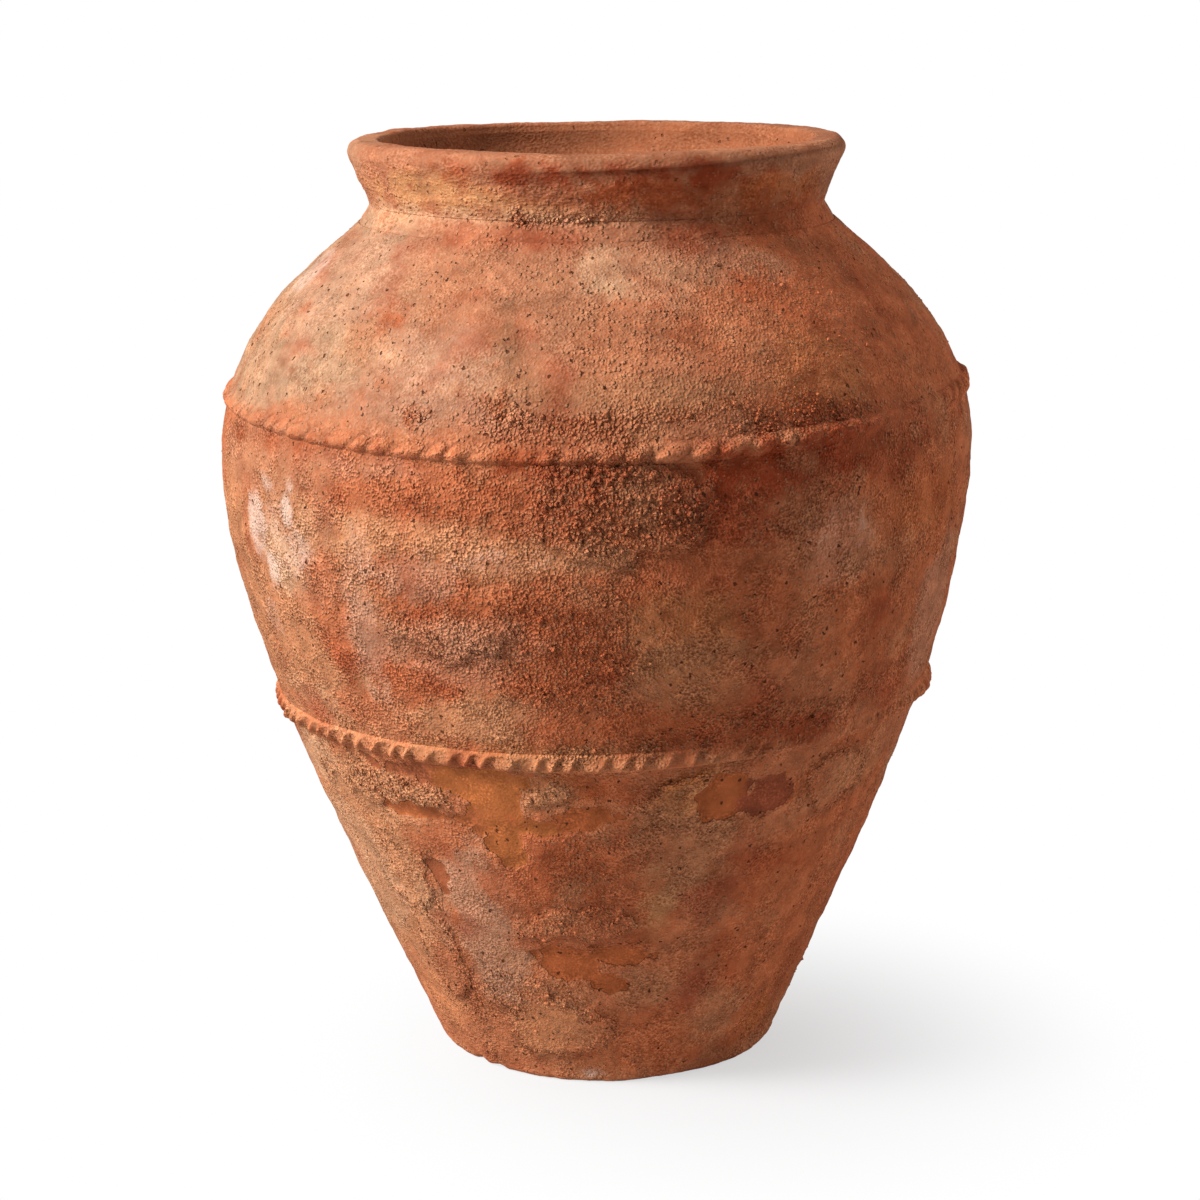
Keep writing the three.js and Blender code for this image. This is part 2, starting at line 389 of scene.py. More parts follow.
# %% Patches on the front of the jar
# Soft stains: colour, angle, height, half angle, half height, strength. Some of them carry painted light or
# shade, each marked where it stands.
STAINS = [
    # Partly painted highlight: the broad pale patch on the left of the shoulder, where the light falls.
    (PEACH, -66, 505, 34, 60, 0.9),
    (SANDY, -20, 510, 28, 45, 0.7),
    (SANDY, 8, 515, 24, 35, 0.7),
    # Partly painted warm shade: the broad saturated patch on the right of the shoulder, in the shade.
    (SIENNA, 58, 495, 42, 70, 0.85),
    (CLAY, 14, 495, 18, 40, 0.6),
    (OLIVE, 36, 478, 9, 24, 0.5),
    (IRON, -2, 457, 8, 4, 0.35),
    (OCHRE_PEACH, -42, 574, 22, 12, 0.9),
    (OCHRE_PEACH, -15, 568, 11, 6, 0.6),
    (EMBER, 14, 574, 26, 11, 0.9),
    (HONEY, 46, 575, 18, 10, 0.6),
    (PEACH, -82, 592, 16, 9, 0.5),
    (CREAM, -38, 547, 8, 7, 0.5),
    (IRON, -13, 586, 14, 7, 0.8),
    (IRON, -18, 579, 4, 6, 0.25),
    # Painted shadow: a thin dark line just under the lip's edge.
    (IRON, 10, 589, 16, 2.5, 0.7),
    (IRON, 27, 584, 8, 8, 0.85),
    (UMBER, 38, 562, 22, 12, 0.65),
    (CREAM, -45, 560, 32, 5, 0.85),
    (CREAM, -8, 562, 13, 6, 0.25),
    (MAROON, -17, 550, 24, 8, 0.8),
    (MAROON, 24, 547, 7, 9, 0.9),
    (PEACH, 31, 533, 8, 10, 0.5),
    (UMBER, 43, 554, 13, 10, 0.4),
    (CREAM, 1, 535, 6, 15, 0.85),
    (CREAM, 10, 528, 8, 12, 0.4),
    (PINK, -58, 520, 16, 30, 0.5),
    (SMUDGE, -15, 497, 2.6, 20, 0.8),
    (PINK, -26, 484, 9, 18, 0.75),
    (PINK, -26, 460, 14, 11, 0.6),
    (PEACH, -52, 455, 20, 9, 0.35),
    (MAROON, 46, 441, 20, 13, 0.6),
    (CREAM, -27, 486, 6, 4, 0.6),
    (CREAM, -21, 471, 5, 3, 0.6),
    (EARTH, 2, 468, 14, 12, 0.6),
    (EARTH, 16, 466, 7, 7, 0.5),
    # Partly painted highlight: the broad pale patch on the left of the belly.
    (EARTH, -60, 340, 30, 80, 0.8),
    (BRICK, -5, 330, 35, 90, 0.8),
    # Partly painted warm shade: the broad saturated patch on the right of the belly.
    (SIENNA, 58, 350, 26, 90, 0.7),
    (ORANGE, 58, 385, 9, 20, 0.7),
    (SANDY, -55, 418, 20, 24, 0.7),
    (RUST, -20, 412, 21, 19, 0.85),
    (UMBER, 4, 412, 13, 24, 0.6),
    (IRON, 26, 405, 13, 30, 0.65),
    # Under the upper rope: the thin dark lines at 428 and 431 mm are partly dirt and partly painted shadow
    # of the rope, and the dark patch on the right is partly painted shade.
    (IRON, 36, 426, 15, 14, 0.85),
    (IRON, 6, 428, 26, 4, 0.75),
    (IRON, 6, 416, 15, 14, 0.55),
    (UMBER, -42, 431, 22, 3, 0.6),
    (RUST, 52, 428, 14, 16, 0.5),
    (EMBER, 8, 455, 28, 7, 0.3),
    (IRON, 30, 450, 7, 7, 0.4),
    (IRON, 54, 438, 10, 8, 0.3),
    (PINK, -32, 423, 8, 6, 0.35),
    (TAN, -32, 384, 13, 14, 0.85),
    (CREAM, -43, 386, 5, 14, 0.4),
    (PINK, -45, 350, 5, 16, 0.4),
    (CREAM, -34, 318, 5, 16, 0.3),
    (CREAM, -53, 264, 8, 14, 0.35),
    (TAN, -10, 376, 12, 10, 0.7),
    (UMBER, 4, 352, 7, 12, 0.5),
    (MAUVE, -28, 360, 7, 14, 0.7),
    (MAUVE, -23, 315, 10, 22, 0.4),
    (RUST, -42, 330, 5, 36, 0.7),
    (PINK, -36, 325, 3, 52, 0.75),
    (CREAM, -53.5, 357, 4, 20, 0.9),
    (UMBER, -5, 325, 11, 38, 0.45),
    (MAUVE, -16, 325, 7, 14, 0.4),
    (OLIVE, 12, 328, 9, 30, 0.6),
    (ORANGE, 14, 283, 8, 15, 0.5),
    (UMBER, 24, 345, 6, 40, 0.15),
    (EARTH, 15, 300, 12, 26, 0.5),
    (ROSE, 37, 376, 7, 30, 0.6),
    (RUST, 48, 330, 7, 36, 0.7),
    (TAN, -21, 271, 11, 18, 0.85),
    (OCHRE, -14, 252, 12, 4, 0.7),
    (UMBER, 20, 268, 26, 18, 0.5),
    (PURPLE, 50, 278, 5, 14, 0.35),
    (PINK, 66, 310, 8, 45, 0.4),
    (IRON, 33, 258, 9, 9, 0.6),
    (IRON, 22, 256, 9, 8, 0.35),
    (EMBER, 50, 236, 9, 10, 0.6),
    (EMBER, 38, 212, 8, 16, 0.5),
    (MAROON, 27, 176, 7, 14, 0.35),
    (MAROON, 18, 240, 11, 3, 0.6),
    (TAN, -45, 249, 30, 7, 0.7),
    # Painted shadow: a thin dark line along the lower edge of the lower rope.
    (UMBER, -28, 237, 30, 2.5, 0.6),
    (EARTH, 2, 247, 18, 7, 0.5),
    # Partly painted highlight: the broad pale patch on the left of the lower wall.
    (TAN, -62, 150, 22, 90, 0.85),
    (CREAM, -62, 215, 10, 18, 0.75),
    (CREAM, -62, 140, 14, 50, 0.5),
    (MAUVE, -26, 125, 10, 60, 0.8),
    (CREAM, -38, 126, 5, 22, 0.35),
    (TAN, -44, 208, 17, 24, 0.8),
    (BRICK, -3, 150, 22, 60, 0.75),
    (UMBER, -6, 160, 7, 30, 0.6),
    (OCHRE_PEACH, 11, 135, 4, 28, 0.6),
    (OCHRE, 14, 222, 6, 14, 0.8),
    (ORANGE, -7, 226, 6, 9, 0.65),
    (EMBER, 2, 227, 8, 7, 0.4),
    (EARTH, 15, 190, 10, 40, 0.5),
    (PURPLE, 24, 140, 7, 20, 0.85),
    (PURPLE, 23, 72, 6, 18, 0.85),
    # Partly painted warm shade: the broad saturated patch on the right of the lower wall.
    (SIENNA, 55, 110, 28, 100, 0.7),
    (UMBER, 60, 65, 6, 26, 0.5),
    (APRICOT, -15, 42, 11, 20, 0.7),
    (EARTH, 9, 80, 8, 16, 0.4),
    (APRICOT, -56, 42, 12, 24, 0.7),
    (TAN, -10.5, 219, 5, 11, 0.8),
    (APRICOT, 52, 215, 8, 20, 0.35),
    (OCHRE, 50, 35, 6, 16, 0.5),
    (SIENNA, 8, 30, 20, 26, 0.7),
]

# Bare patches: colour, angle, height, half angle, half height
BARE = [
    (RUST, -35, 150, 1.6, 12),
    (RUST, -33, 229, 11, 7),
    (HONEY, -20, 224, 8, 14),
    (HONEY, -19, 203, 7, 14),
    (HONEY, -18, 185, 4, 17),
    (ORANGE, -32, 200, 11, 6.5),
    (HONEY, -11, 200, 8, 9),
    (AMBER, -4, 206, 8, 10),
    (AMBER, 22, 215, 5, 15),
    (PURPLE, 31, 212, 6, 15),
    (AMBER, -8, 95, 9, 16),
    (AMBER, 2, 103, 9, 9),
    (AMBER, 0, 82, 5, 9),
]

# Thick crust: angle, height, half angle, half height
THICK = [
    (-43, 212, 16, 14),
    (-47, 150, 8, 22),
    (-44, 95, 7, 30),
    (-10.5, 219, 4.5, 9),
    (46, 212, 8, 24),
    (13, 218, 6, 18),
    (-8, 127, 15, 12),
    (-22, 70, 10, 14),
    (2, 408, 13, 30),
    (-20, 325, 9, 12),
    (-14, 42, 15, 20),
]

# Lime bloom: angle, height, half angle, half height, strength
LIME_BLOOM = [
    (-59, 376, 3.0, 20, 0.80),
    (-50.4, 388, 2.3, 14, 0.95),
    (-48.8, 368, 4, 15, 0.55),
    (-56, 351, 1.7, 11, 1.0),
    (-56, 402, 2, 7, 0.7),
    (-49.5, 404, 1.5, 9, 0.7),
    (-54, 371, 8, 27, 0.40),
    (-76, 520, 6, 14, 0.6),
    (37, 380, 6, 24, 0.3),
    (-60, 315, 2.5, 14, 0.4),
    (-12, 374, 9, 7, 0.35),
    (-5, 7, 4, 4, 0.9),
]

# Crumbs: angle, height, half angle, half height, amount
GRIT = [
    (2, 410, 14, 30, 1.0),
    (-22, 412, 14, 18, 0.5),
    (0, 455, 32, 12, 0.75),
    (28, 452, 16, 14, 0.8),
    (-5, 320, 13, 45, 0.7),
    (25, 505, 36, 45, 0.44),
    (-40, 216, 16, 20, 0.9),
    (-8, 212, 9, 24, 0.5),
    (14, 220, 6, 18, 0.6),
    (45, 215, 8, 26, 0.5),
    (-8, 562, 16, 7, 0.9),
    (-14, 45, 14, 24, 0.4),
    (-20, 325, 14, 24, 0.7),
    (-10, 128, 14, 14, 0.7),
    (-24, 72, 10, 16, 0.7),
    (-38, 100, 3, 80, 0.8),
    (-43, 392, 3, 12, 0.8),
    (30, 268, 20, 14, 0.7),
    (-30, 257, 32, 6, 0.8),
    (5, 255, 20, 6, 0.85),
    (0, 180, 10, 40, 0.5),
]

# %% Patches on the sides and the back
# The photograph shows no more than the front half, so the rest gets patches of the same kinds by lot.
BACK_STAINS = 64
BACK_BARE = 7
BACK_BLOOMS = 5
BACK_SHEETS = 12
BACK_GRIT = 9
BACK_ANGLES = (95, 265)
SHEET_ANGLES = (100, 260)
BACK_COLOURS = [SANDY, SIENNA, TAN, RUST, BRICK, IRON, EARTH, UMBER, ORANGE, MAROON, MAUVE, APRICOT]
BARE_COLOURS = [HONEY, AMBER, RUST]


def back_spot(heights, half_angles, half_heights, angles=BACK_ANGLES):
    """A patch of the back: its angle, height, half angle and half height, each by lot between limits."""
    return [draw.uniform(*limits) for limits in (angles, heights, half_angles, half_heights)]


for _ in range(BACK_STAINS):
    tint = BACK_COLOURS[draw.integers(len(BACK_COLOURS))]
    STAINS.append((tint, *back_spot((20, 580), (5, 22), (8, 50)), draw.uniform(0.35, 0.7)))
for _ in range(BACK_BARE):
    tint = BARE_COLOURS[draw.integers(len(BARE_COLOURS))]
    BARE.append((tint, *back_spot((60, 410), (4, 8), (10, 19))))
for _ in range(BACK_BLOOMS):
    LIME_BLOOM.append((*back_spot((60, 520), (2, 5), (12, 34)), draw.uniform(0.3, 0.6)))
for _ in range(BACK_SHEETS):
    THICK.append(back_spot((30, 540), (5, 16), (10, 45), SHEET_ANGLES))
for _ in range(BACK_GRIT):
    GRIT.append((*back_spot((30, 560), (9, 25), (15, 40)), draw.uniform(0.5, 0.9)))
print(len(STAINS), "stains,", len(BARE), "bare patches,", len(THICK), "thick sheets")
print(len(LIME_BLOOM), "blooms,", len(GRIT), "gritty spots")

# %% [markdown]
# The map is read at every point of a surface. Colours and amounts go into the mesh as attributes,
# which the material mixes, and the same amounts raise the crust and the crumbs in the mesh itself.

# %% Reading the map
MILLIMETRE = 0.001
TATTER_SIZE = 0.036
FRAY_SIZE = 0.009
LUMP_SIZE = 0.085
MOTTLE_SIZE = 0.046
SKIN_GRAIN_SIZE = 0.0062
RUN_SIZE = 0.016
WIPE_SIZE = 0.008
RAGGED_BROAD = 0.0085
RAGGED_FINE = 0.0045
STAIN_EDGE = 0.012
CRUST_EDGE = 0.0022
CRUMBLING_EDGE = 0.007
SHEET_RIM = 0.002
BARE_SPREAD = 0.006
BARE_RAGGED = 0.75
BLOOM_EDGE = 0.012
BLOOM_RAGGED = 0.45
BLOOM_RUNS = 0.35
GRIT_EDGE = 0.020
GRIT_PLAIN = 0.28
GRIT_MOTTLE = 0.30
GRIT_AT_EDGES = 0.8
LIP_WORN = 0.75
LIP_FADE = 0.006
MOTTLE = 0.55
MOTTLE_START = 0.1
STREAKS = 0.14
RUN_STRETCH = np.array((1, 1, 0.2))
WIPE_STRETCH = np.array((0.2, 0.2, 1))
BODY_LEVEL = 0.02
BODY_FADE = 0.07
SHOULDER_LEVEL = 0.42
SHOULDER_FADE = 0.05
FOOT_TINT = np.array((0.493, 0.178, 0.082))
BODY_TINT = np.array((0.451, 0.148, 0.066))
SHOULDER_TINT = np.array((0.400, 0.160, 0.083))
INSIDE_TINT = np.array((0.361, 0.128, 0.059))


class Skin:
    """The weathering map at the points of one surface."""

    def __init__(self, points):
        self.points = points
        self.height = points[..., 2]
        self.angle = np.degrees(np.arctan2(points[..., 0], -points[..., 1]))
        tatters = clouds(points, TATTER_SIZE, 3)
        self.ragged = RAGGED_BROAD * tatters + RAGGED_FINE * clouds(points, FRAY_SIZE, 2, shift=3.1)
        self.lumps = clouds(points, LUMP_SIZE, 3, shift=11.0)
        self.mottle = clouds(points, MOTTLE_SIZE, 4, shift=5.7)
        self.grain = clouds(points, SKIN_GRAIN_SIZE, 2, shift=1.9)
        self.runs = clouds(points * RUN_STRETCH, RUN_SIZE, 3, shift=21.0)
        self.wipes = clouds(points * WIPE_STRETCH, WIPE_SIZE, 3, shift=31.0)
        self.read_bare()
        self.read_grit()
        self.read_bloom()
        self.read_colour()

    def inside(self, angle, height, half_angle, half_height, ragged=1.0):
        """How far in metres each point lies inside an oval patch with a ragged edge: one minus the
        oval's own radius, times its shorter half, plus the warp."""
        middle = height * MILLIMETRE
        tall = half_height * MILLIMETRE
        wide = math.radians(half_angle) * float(outline(middle)[0])
        turn = (self.angle - angle + 180) % 360 - 180
        radius = np.hypot(turn / half_angle, (self.height - middle) / tall)
        return np.clip(1 - radius, -3, 1) * min(wide, tall) + ragged * self.ragged

    def read_bare(self):
        """Crust is 0 on bare patches and 1 elsewhere; the body under it has the patches' colours. Thick
        crust lies on it in sheets, and the edges of both crumble."""
        tint = np.broadcast_to(np.array(ORANGE), self.points.shape).copy()
        deepest = np.full(self.height.shape, -1.0)
        for colour, *oval in BARE:
            depth = self.inside(*oval, ragged=BARE_RAGGED)
            share = smooth_step(depth / BARE_SPREAD + 1)[..., None]
            tint += share * (np.array(colour) - tint)
            deepest = np.maximum(deepest, depth)
        self.bare_tint = tint
        self.crust = np.clip(0.5 - deepest / (2 * CRUST_EDGE), 0, 1)
        thickest = np.max([self.inside(*oval) for oval in THICK], axis=0)
        self.thick = np.clip(0.5 + thickest / (2 * CRUST_EDGE), 0, 1) * self.crust
        by_bare = 1 + deepest / CRUMBLING_EDGE
        by_sheet = 1 - np.abs(thickest - SHEET_RIM) / CRUMBLING_EDGE
        self.crumbling = self.crust * smooth_step(np.maximum(by_bare, by_sheet))

    def read_grit(self):
        """Crumbs: a few everywhere, more in the gritty spots and at the crust's edges, and none where the
        crust is gone."""
        amount = GRIT_PLAIN + GRIT_MOTTLE * self.mottle
        for *oval, most in GRIT:
            amount = np.maximum(amount, most * smooth_step(self.inside(*oval) / GRIT_EDGE + 0.5))
        amount = np.maximum(amount, GRIT_AT_EDGES * self.crumbling)
        lip = smooth_step((self.height - RIM_SEAM) / LIP_FADE)
        self.grit = np.clip(amount * self.crust * (1 - LIP_WORN * lip), 0, 1)

    def read_bloom(self):
        """Lime, thickest in the middle of each bloom and drawn out downwards by rain."""
        self.bloom = np.zeros(self.height.shape)
        for *oval, most in LIME_BLOOM:
            depth = self.inside(*oval, ragged=BLOOM_RAGGED) / BLOOM_EDGE
            self.bloom = np.maximum(self.bloom, most * smooth_step(depth + 0.5 + BLOOM_RUNS * self.runs))

    def read_colour(self):
        """The crust's colour: foot, body and shoulder tints by height, the stains, then mottling and
        streaks, which run down the body and go round the shoulder and the neck."""
        to_body = smooth_step((self.height - BODY_LEVEL) / BODY_FADE)[..., None]
        to_shoulder = smooth_step((self.height - SHOULDER_LEVEL) / SHOULDER_FADE)
        tint = FOOT_TINT + to_body * (BODY_TINT - FOOT_TINT)
        tint = tint + to_shoulder[..., None] * (SHOULDER_TINT - tint)
        for colour, *oval, strength in STAINS:
            share = strength * smooth_step(self.inside(*oval) / STAIN_EDGE + 0.5)
            tint += share[..., None] * (np.array(colour) - tint)
        pale = MOTTLE * smooth_step(self.mottle - MOTTLE_START)[..., None]
        dark = MOTTLE * smooth_step(-self.mottle - MOTTLE_START)[..., None]
        tint += pale * (np.array(TAN) - tint)
        tint += dark * (np.array(IRON) - tint)
        streak = self.runs + to_shoulder * (self.wipes - self.runs)
        self.tint = tint * (1 + STREAKS * streak)[..., None]


# %% [markdown]
# ## Relief
# The hand-built wall is never a true circle: it swells and dents by about a millimetre, and the coils
# under it show as faint rings. On that lies the crust, a little over a millimetre thick, which stops
# at ragged edges, and the crumbs that stick to it. These are all real shape in the mesh. Only what is
# finer than the mesh, such as sand and pits, is left to the bump of the material.

# %% Relief of the outer and the inner face
LUMP_HEIGHT = 0.0011
COIL_RING = 0.00028
COIL_RISE = 0.029
CRUST_HEIGHT = 0.0012
THICK_HEIGHT = 0.0015
GRAIN_HEIGHT = 0.00016
CRUMB_HEIGHT = 0.0005
WIPE_HEIGHT = 0.0003
NECK_WIPE = 0.00035
NECK_FADE = 0.006
LIP_UNDERCUT = 0.0024
LIP_EDGE = 0.5898
LIP_EDGE_CLIMB = 0.0078
UNDERCUT_EDGE = 0.0013
UNDERCUT_REACH = 0.007
WIPE_RISE = 0.021
CHIP_HEIGHT = 0.0030
CHIP_REACH = 0.014
CHIP_SIZE = 0.030
DRIFT_LEVELS = np.array((0.0, 0.12, 0.35, 0.56, 0.60))
DRIFT_ACROSS = np.array((0.0020, 0.0008, -0.0017, 0.0004, 0.0007))


def lump_relief(skin):
    """Slow swell of a hand-built wall, with faint level rings where the coils are."""
    rings = np.sin(2 * np.pi * skin.height / COIL_RISE + 3 * skin.mottle)
    return LUMP_HEIGHT * skin.lumps + COIL_RING * rings


def under_lip(skin):
    """The lip overhangs the neck on the right of the front. Its lower edge climbs to the right; just below
    that edge the neck is cut in, and the cut runs out downwards."""
    below = LIP_EDGE + LIP_EDGE_CLIMB * smooth_step((skin.angle + 10) / 75) - skin.height
    round_front = smooth_step((skin.angle + 16) / 20) * (1 - smooth_step((skin.angle - 62) / 24))
    cut = smooth_step(below / UNDERCUT_EDGE) * np.exp(-np.clip(below, 0, 1) / UNDERCUT_REACH)
    return LIP_UNDERCUT * round_front * cut


def weathered_relief(skin):
    """Lumps, the thickness of the crust, the grain of its sand, its crumbs, the chips of the foot, and on
    the neck the marks of the wiping hand and the undercut of the lip."""
    crust = CRUST_HEIGHT * smooth_step(skin.crust)
    grain = GRAIN_HEIGHT * skin.grain * (0.3 + skin.crust)
    crumbs = CRUMB_HEIGHT * skin.grit * smooth_step(1.6 * skin.grain)
    edge = smooth_step(1 - skin.height / CHIP_REACH)
    chips = CHIP_HEIGHT * edge * smooth_step(1.5 * clouds(skin.points, CHIP_SIZE, 2, shift=17.0) - 0.25)
    thick = THICK_HEIGHT * smooth_step(skin.thick)
    wiped = NECK_WIPE * skin.wipes * smooth_step((skin.height - THROAT) / NECK_FADE)
    laid_on = lump_relief(skin) + crust - CRUST_HEIGHT + thick + grain + crumbs + wiped
    return laid_on - chips - under_lip(skin)


def wiped_relief(skin):
    """The inner face: level rings left by the hand that smoothed it."""
    rings = np.sin(2 * np.pi * skin.height / WIPE_RISE + 2.5 * skin.mottle)
    return WIPE_HEIGHT * rings * (0.6 + 0.4 * skin.lumps) + LUMP_HEIGHT * skin.lumps


def drift(points):
    """The axis of the built-up jar leans a little from course to course. Nothing goes below the ground."""
    moved = points.copy()
    moved[..., 0] += np.interp(points[..., 2], DRIFT_LEVELS, DRIFT_ACROSS)
    moved[..., 2] = np.maximum(moved[..., 2], 0)
    return moved


# %% [markdown]
# ## From a section to a mesh
# Every wall piece is a closed section that goes once round the axis. The section is a list of rows,
# and each row says where it is, which way is out, and how much of the weathered and of the wiped
# relief it takes: the joints between two courses take none. The grid of points is worked out as one
# array, moved along its normals by the relief, and handed to the mesh in one go.

# %% Section rows
ROW = np.dtype([(name, float) for name in ("r", "z", "out_r", "out_z", "weather", "wipe")])


def rows(r, z, out_r, out_z, weather, wipe):
    """Section rows from arrays or single values of the same length."""
    made = np.zeros(np.broadcast(r, z).size, ROW)
    for name, value in zip(ROW.names, (r, z, out_r, out_z, weather, wipe)):
        made[name] = value
    return made


def outer_rows(low, high, count):
    """Rows up the outer face; out is square to the outline."""
    z = np.linspace(low, high, count)
    r, slope = outline(z)
    steep = np.hypot(1, slope)
    return rows(r, z, 1 / steep, -slope / steep, 1, 0)


def inner_rows(high, low, count):
    """Rows down the inner face; out points to the axis."""
    z = np.linspace(high, low, count)
    slope = outline(z)[1]
    steep = np.hypot(1, slope)
    return rows(inner_radius(z), z, -1 / steep, slope / steep, 0, 1)


def joint_rows(start, end, count):
    """Rows along the flat face between two points of a joint, both left out."""
    share = np.linspace(0, 1, count + 2)[1:-1]
    r = start[0] + share * (end[0] - start[0])
    z = start[1] + share * (end[1] - start[1])
    return rows(r, z, 0, 1, 0, 0)


def arc_rows(r, z, radius, start, end, count, weather, wipe):
    """Rows round an arc about a centre, from one angle to another in degrees."""
    angle = np.radians(np.linspace(start, end, count))
    out_r, out_z = np.cos(angle), np.sin(angle)
    return rows(r + radius * out_r, z + radius * out_z, out_r, out_z, weather, wipe)


# %% Grid, mesh and attributes
PAINTED_SHADE_DEPTH = 0.0006
BLUR_STEPS = (-4, -2, 2, 4)


def round_the_axis(r, z, angle):
    """Points at a radius and a height; angle 0 is the front, -Y, and it grows to the right, +X."""
    return np.stack(np.broadcast_arrays(r * np.sin(angle), -r * np.cos(angle), z), axis=-1)


def painted_shade_of_hollows(height):
    """How far each point of a relief lies below its neighbourhood, as a share of a deep hollow. The clay
    paints shade by it where the relief is low and paints light where it stands out.
    """
    around = sum(np.roll(height, step, axis) for step in BLUR_STEPS for axis in (0, 1))
    return np.clip((around / (2 * len(BLUR_STEPS)) - height) / PAINTED_SHADE_DEPTH, -1, 1)


def closed_quads(row_count, columns):
    """Corner numbers of the quads of a grid that closes on itself both ways."""
    here = np.arange(row_count * columns).reshape(row_count, columns)
    right = np.roll(here, -1, 1)
    return np.stack([here, right, np.roll(right, -1, 0), np.roll(here, -1, 0)], -1).reshape(-1, 4)


def make_mesh(name, points, faces, fields):
    """A smooth-shaded mesh from points and faces, with float or colour attributes."""
    mesh = bpy.data.meshes.new(name)
    mesh.from_pydata(points.reshape(-1, 3).tolist(), [], faces)
    mesh.shade_smooth()
    for field_name, values in fields.items():
        flat = np.asarray(values, np.float32)
        if flat.ndim == points.ndim:
            flat = np.concatenate([flat, np.ones_like(flat[..., :1])], axis=-1)
            mesh.attributes.new(field_name, "FLOAT_COLOR", "POINT").data.foreach_set("color", flat.ravel())
        else:
            mesh.attributes.new(field_name, "FLOAT", "POINT").data.foreach_set("value", flat.ravel())
    return mesh


def crease(mesh, columns, sharp_rows):
    """Marks the rings of the given rows as sharp, so that shading stops at a joint's edge."""
    ends = np.zeros(len(mesh.edges) * 2, np.int32)
    mesh.edges.foreach_get("vertices", ends)
    row = ends.reshape(-1, 2) // columns
    sharp = (row[:, 0] == row[:, 1]) & np.isin(row[:, 0], sharp_rows)
    mesh.attributes.new("sharp_edge", "BOOLEAN", "EDGE").data.foreach_set("value", sharp)


def skin_fields(skin, inside, hollow):
    """The attributes that the clay materials read."""
    shade = np.asarray(inside)[..., None]
    return {
        "crust_tint": skin.tint + shade * (INSIDE_TINT * (1 + 0.12 * skin.mottle[..., None]) - skin.tint),
        "bare_tint": skin.bare_tint,
        "crust": np.maximum(skin.crust, inside),
        "thick": skin.thick * (1 - np.asarray(inside)),
        "grit": skin.grit * (1 - 0.7 * np.asarray(inside)),
        "bloom": skin.bloom * (1 - np.asarray(inside)),
        "hollow": hollow,
        "wiped": np.asarray(inside),
    }


def place_piece(mesh, node, material):
    """Puts a finished mesh in the scene, on the jar's one body, in place of its CAD node."""
    mesh.materials.append(material)
    piece = bpy.data.objects.new(mesh.name, mesh)
    scene.collection.objects.link(piece)
    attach(piece, "root")
    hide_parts(node)
    triangles = sum(len(face.vertices) - 2 for face in mesh.polygons)
    print(f"{mesh.name}: {triangles} triangles")
    return piece


# %% [markdown]
# ## Crumbs
# Bits of sand and hardened earth stick to the crust. Each crumb is a small closed lump: a ring of six
# points round its waist, one point on top and one sunk in the wall. They are strewn by lot, and a spot
# keeps its crumb only if the map says that it is gritty there.

# %% Strewing crumbs
CRUMB_SIZE = 0.00090
CRUMB_SPREAD = 0.42
CRUMB_LEAST = 0.0004
CRUMB_MOST = 0.0024
CRUMB_SIDES = 6
CRUMB_CORNERS = CRUMB_SIDES + 2
# Crumbs count as standing out, so the clay paints them lighter: a painted highlight.
CRUMB_PAINTED_LIGHT = -0.8
TRIES_PER_CRUMB = 9


def gritty_spots(low, high, count):
    """Heights and angles by lot on the outer face between two levels, kept where the map is gritty."""
    tries = count * TRIES_PER_CRUMB
    z = draw.uniform(low, high, tries)
    angle = draw.uniform(-np.pi, np.pi, tries)
    luck = draw.uniform(0.05, 1, tries)
    skin = Skin(round_the_axis(outline(z)[0], z, angle))
    kept = np.flatnonzero(luck < skin.grit**3)[:count]
    return z[kept], angle[kept]


def crumb_faces(count):
    """Corner numbers of the triangles of so many crumbs: a fan above the waist and one below it."""
    ring = np.arange(CRUMB_SIDES)
    nxt = np.roll(ring, -1)
    upper = np.stack([ring, nxt, np.full(CRUMB_SIDES, CRUMB_SIDES)], 1)
    under = np.stack([nxt, ring, np.full(CRUMB_SIDES, CRUMB_SIDES + 1)], 1)
    first = CRUMB_CORNERS * np.arange(count)[:, None, None]
    return (np.concatenate([upper, under])[None] + first).reshape(-1, 3)


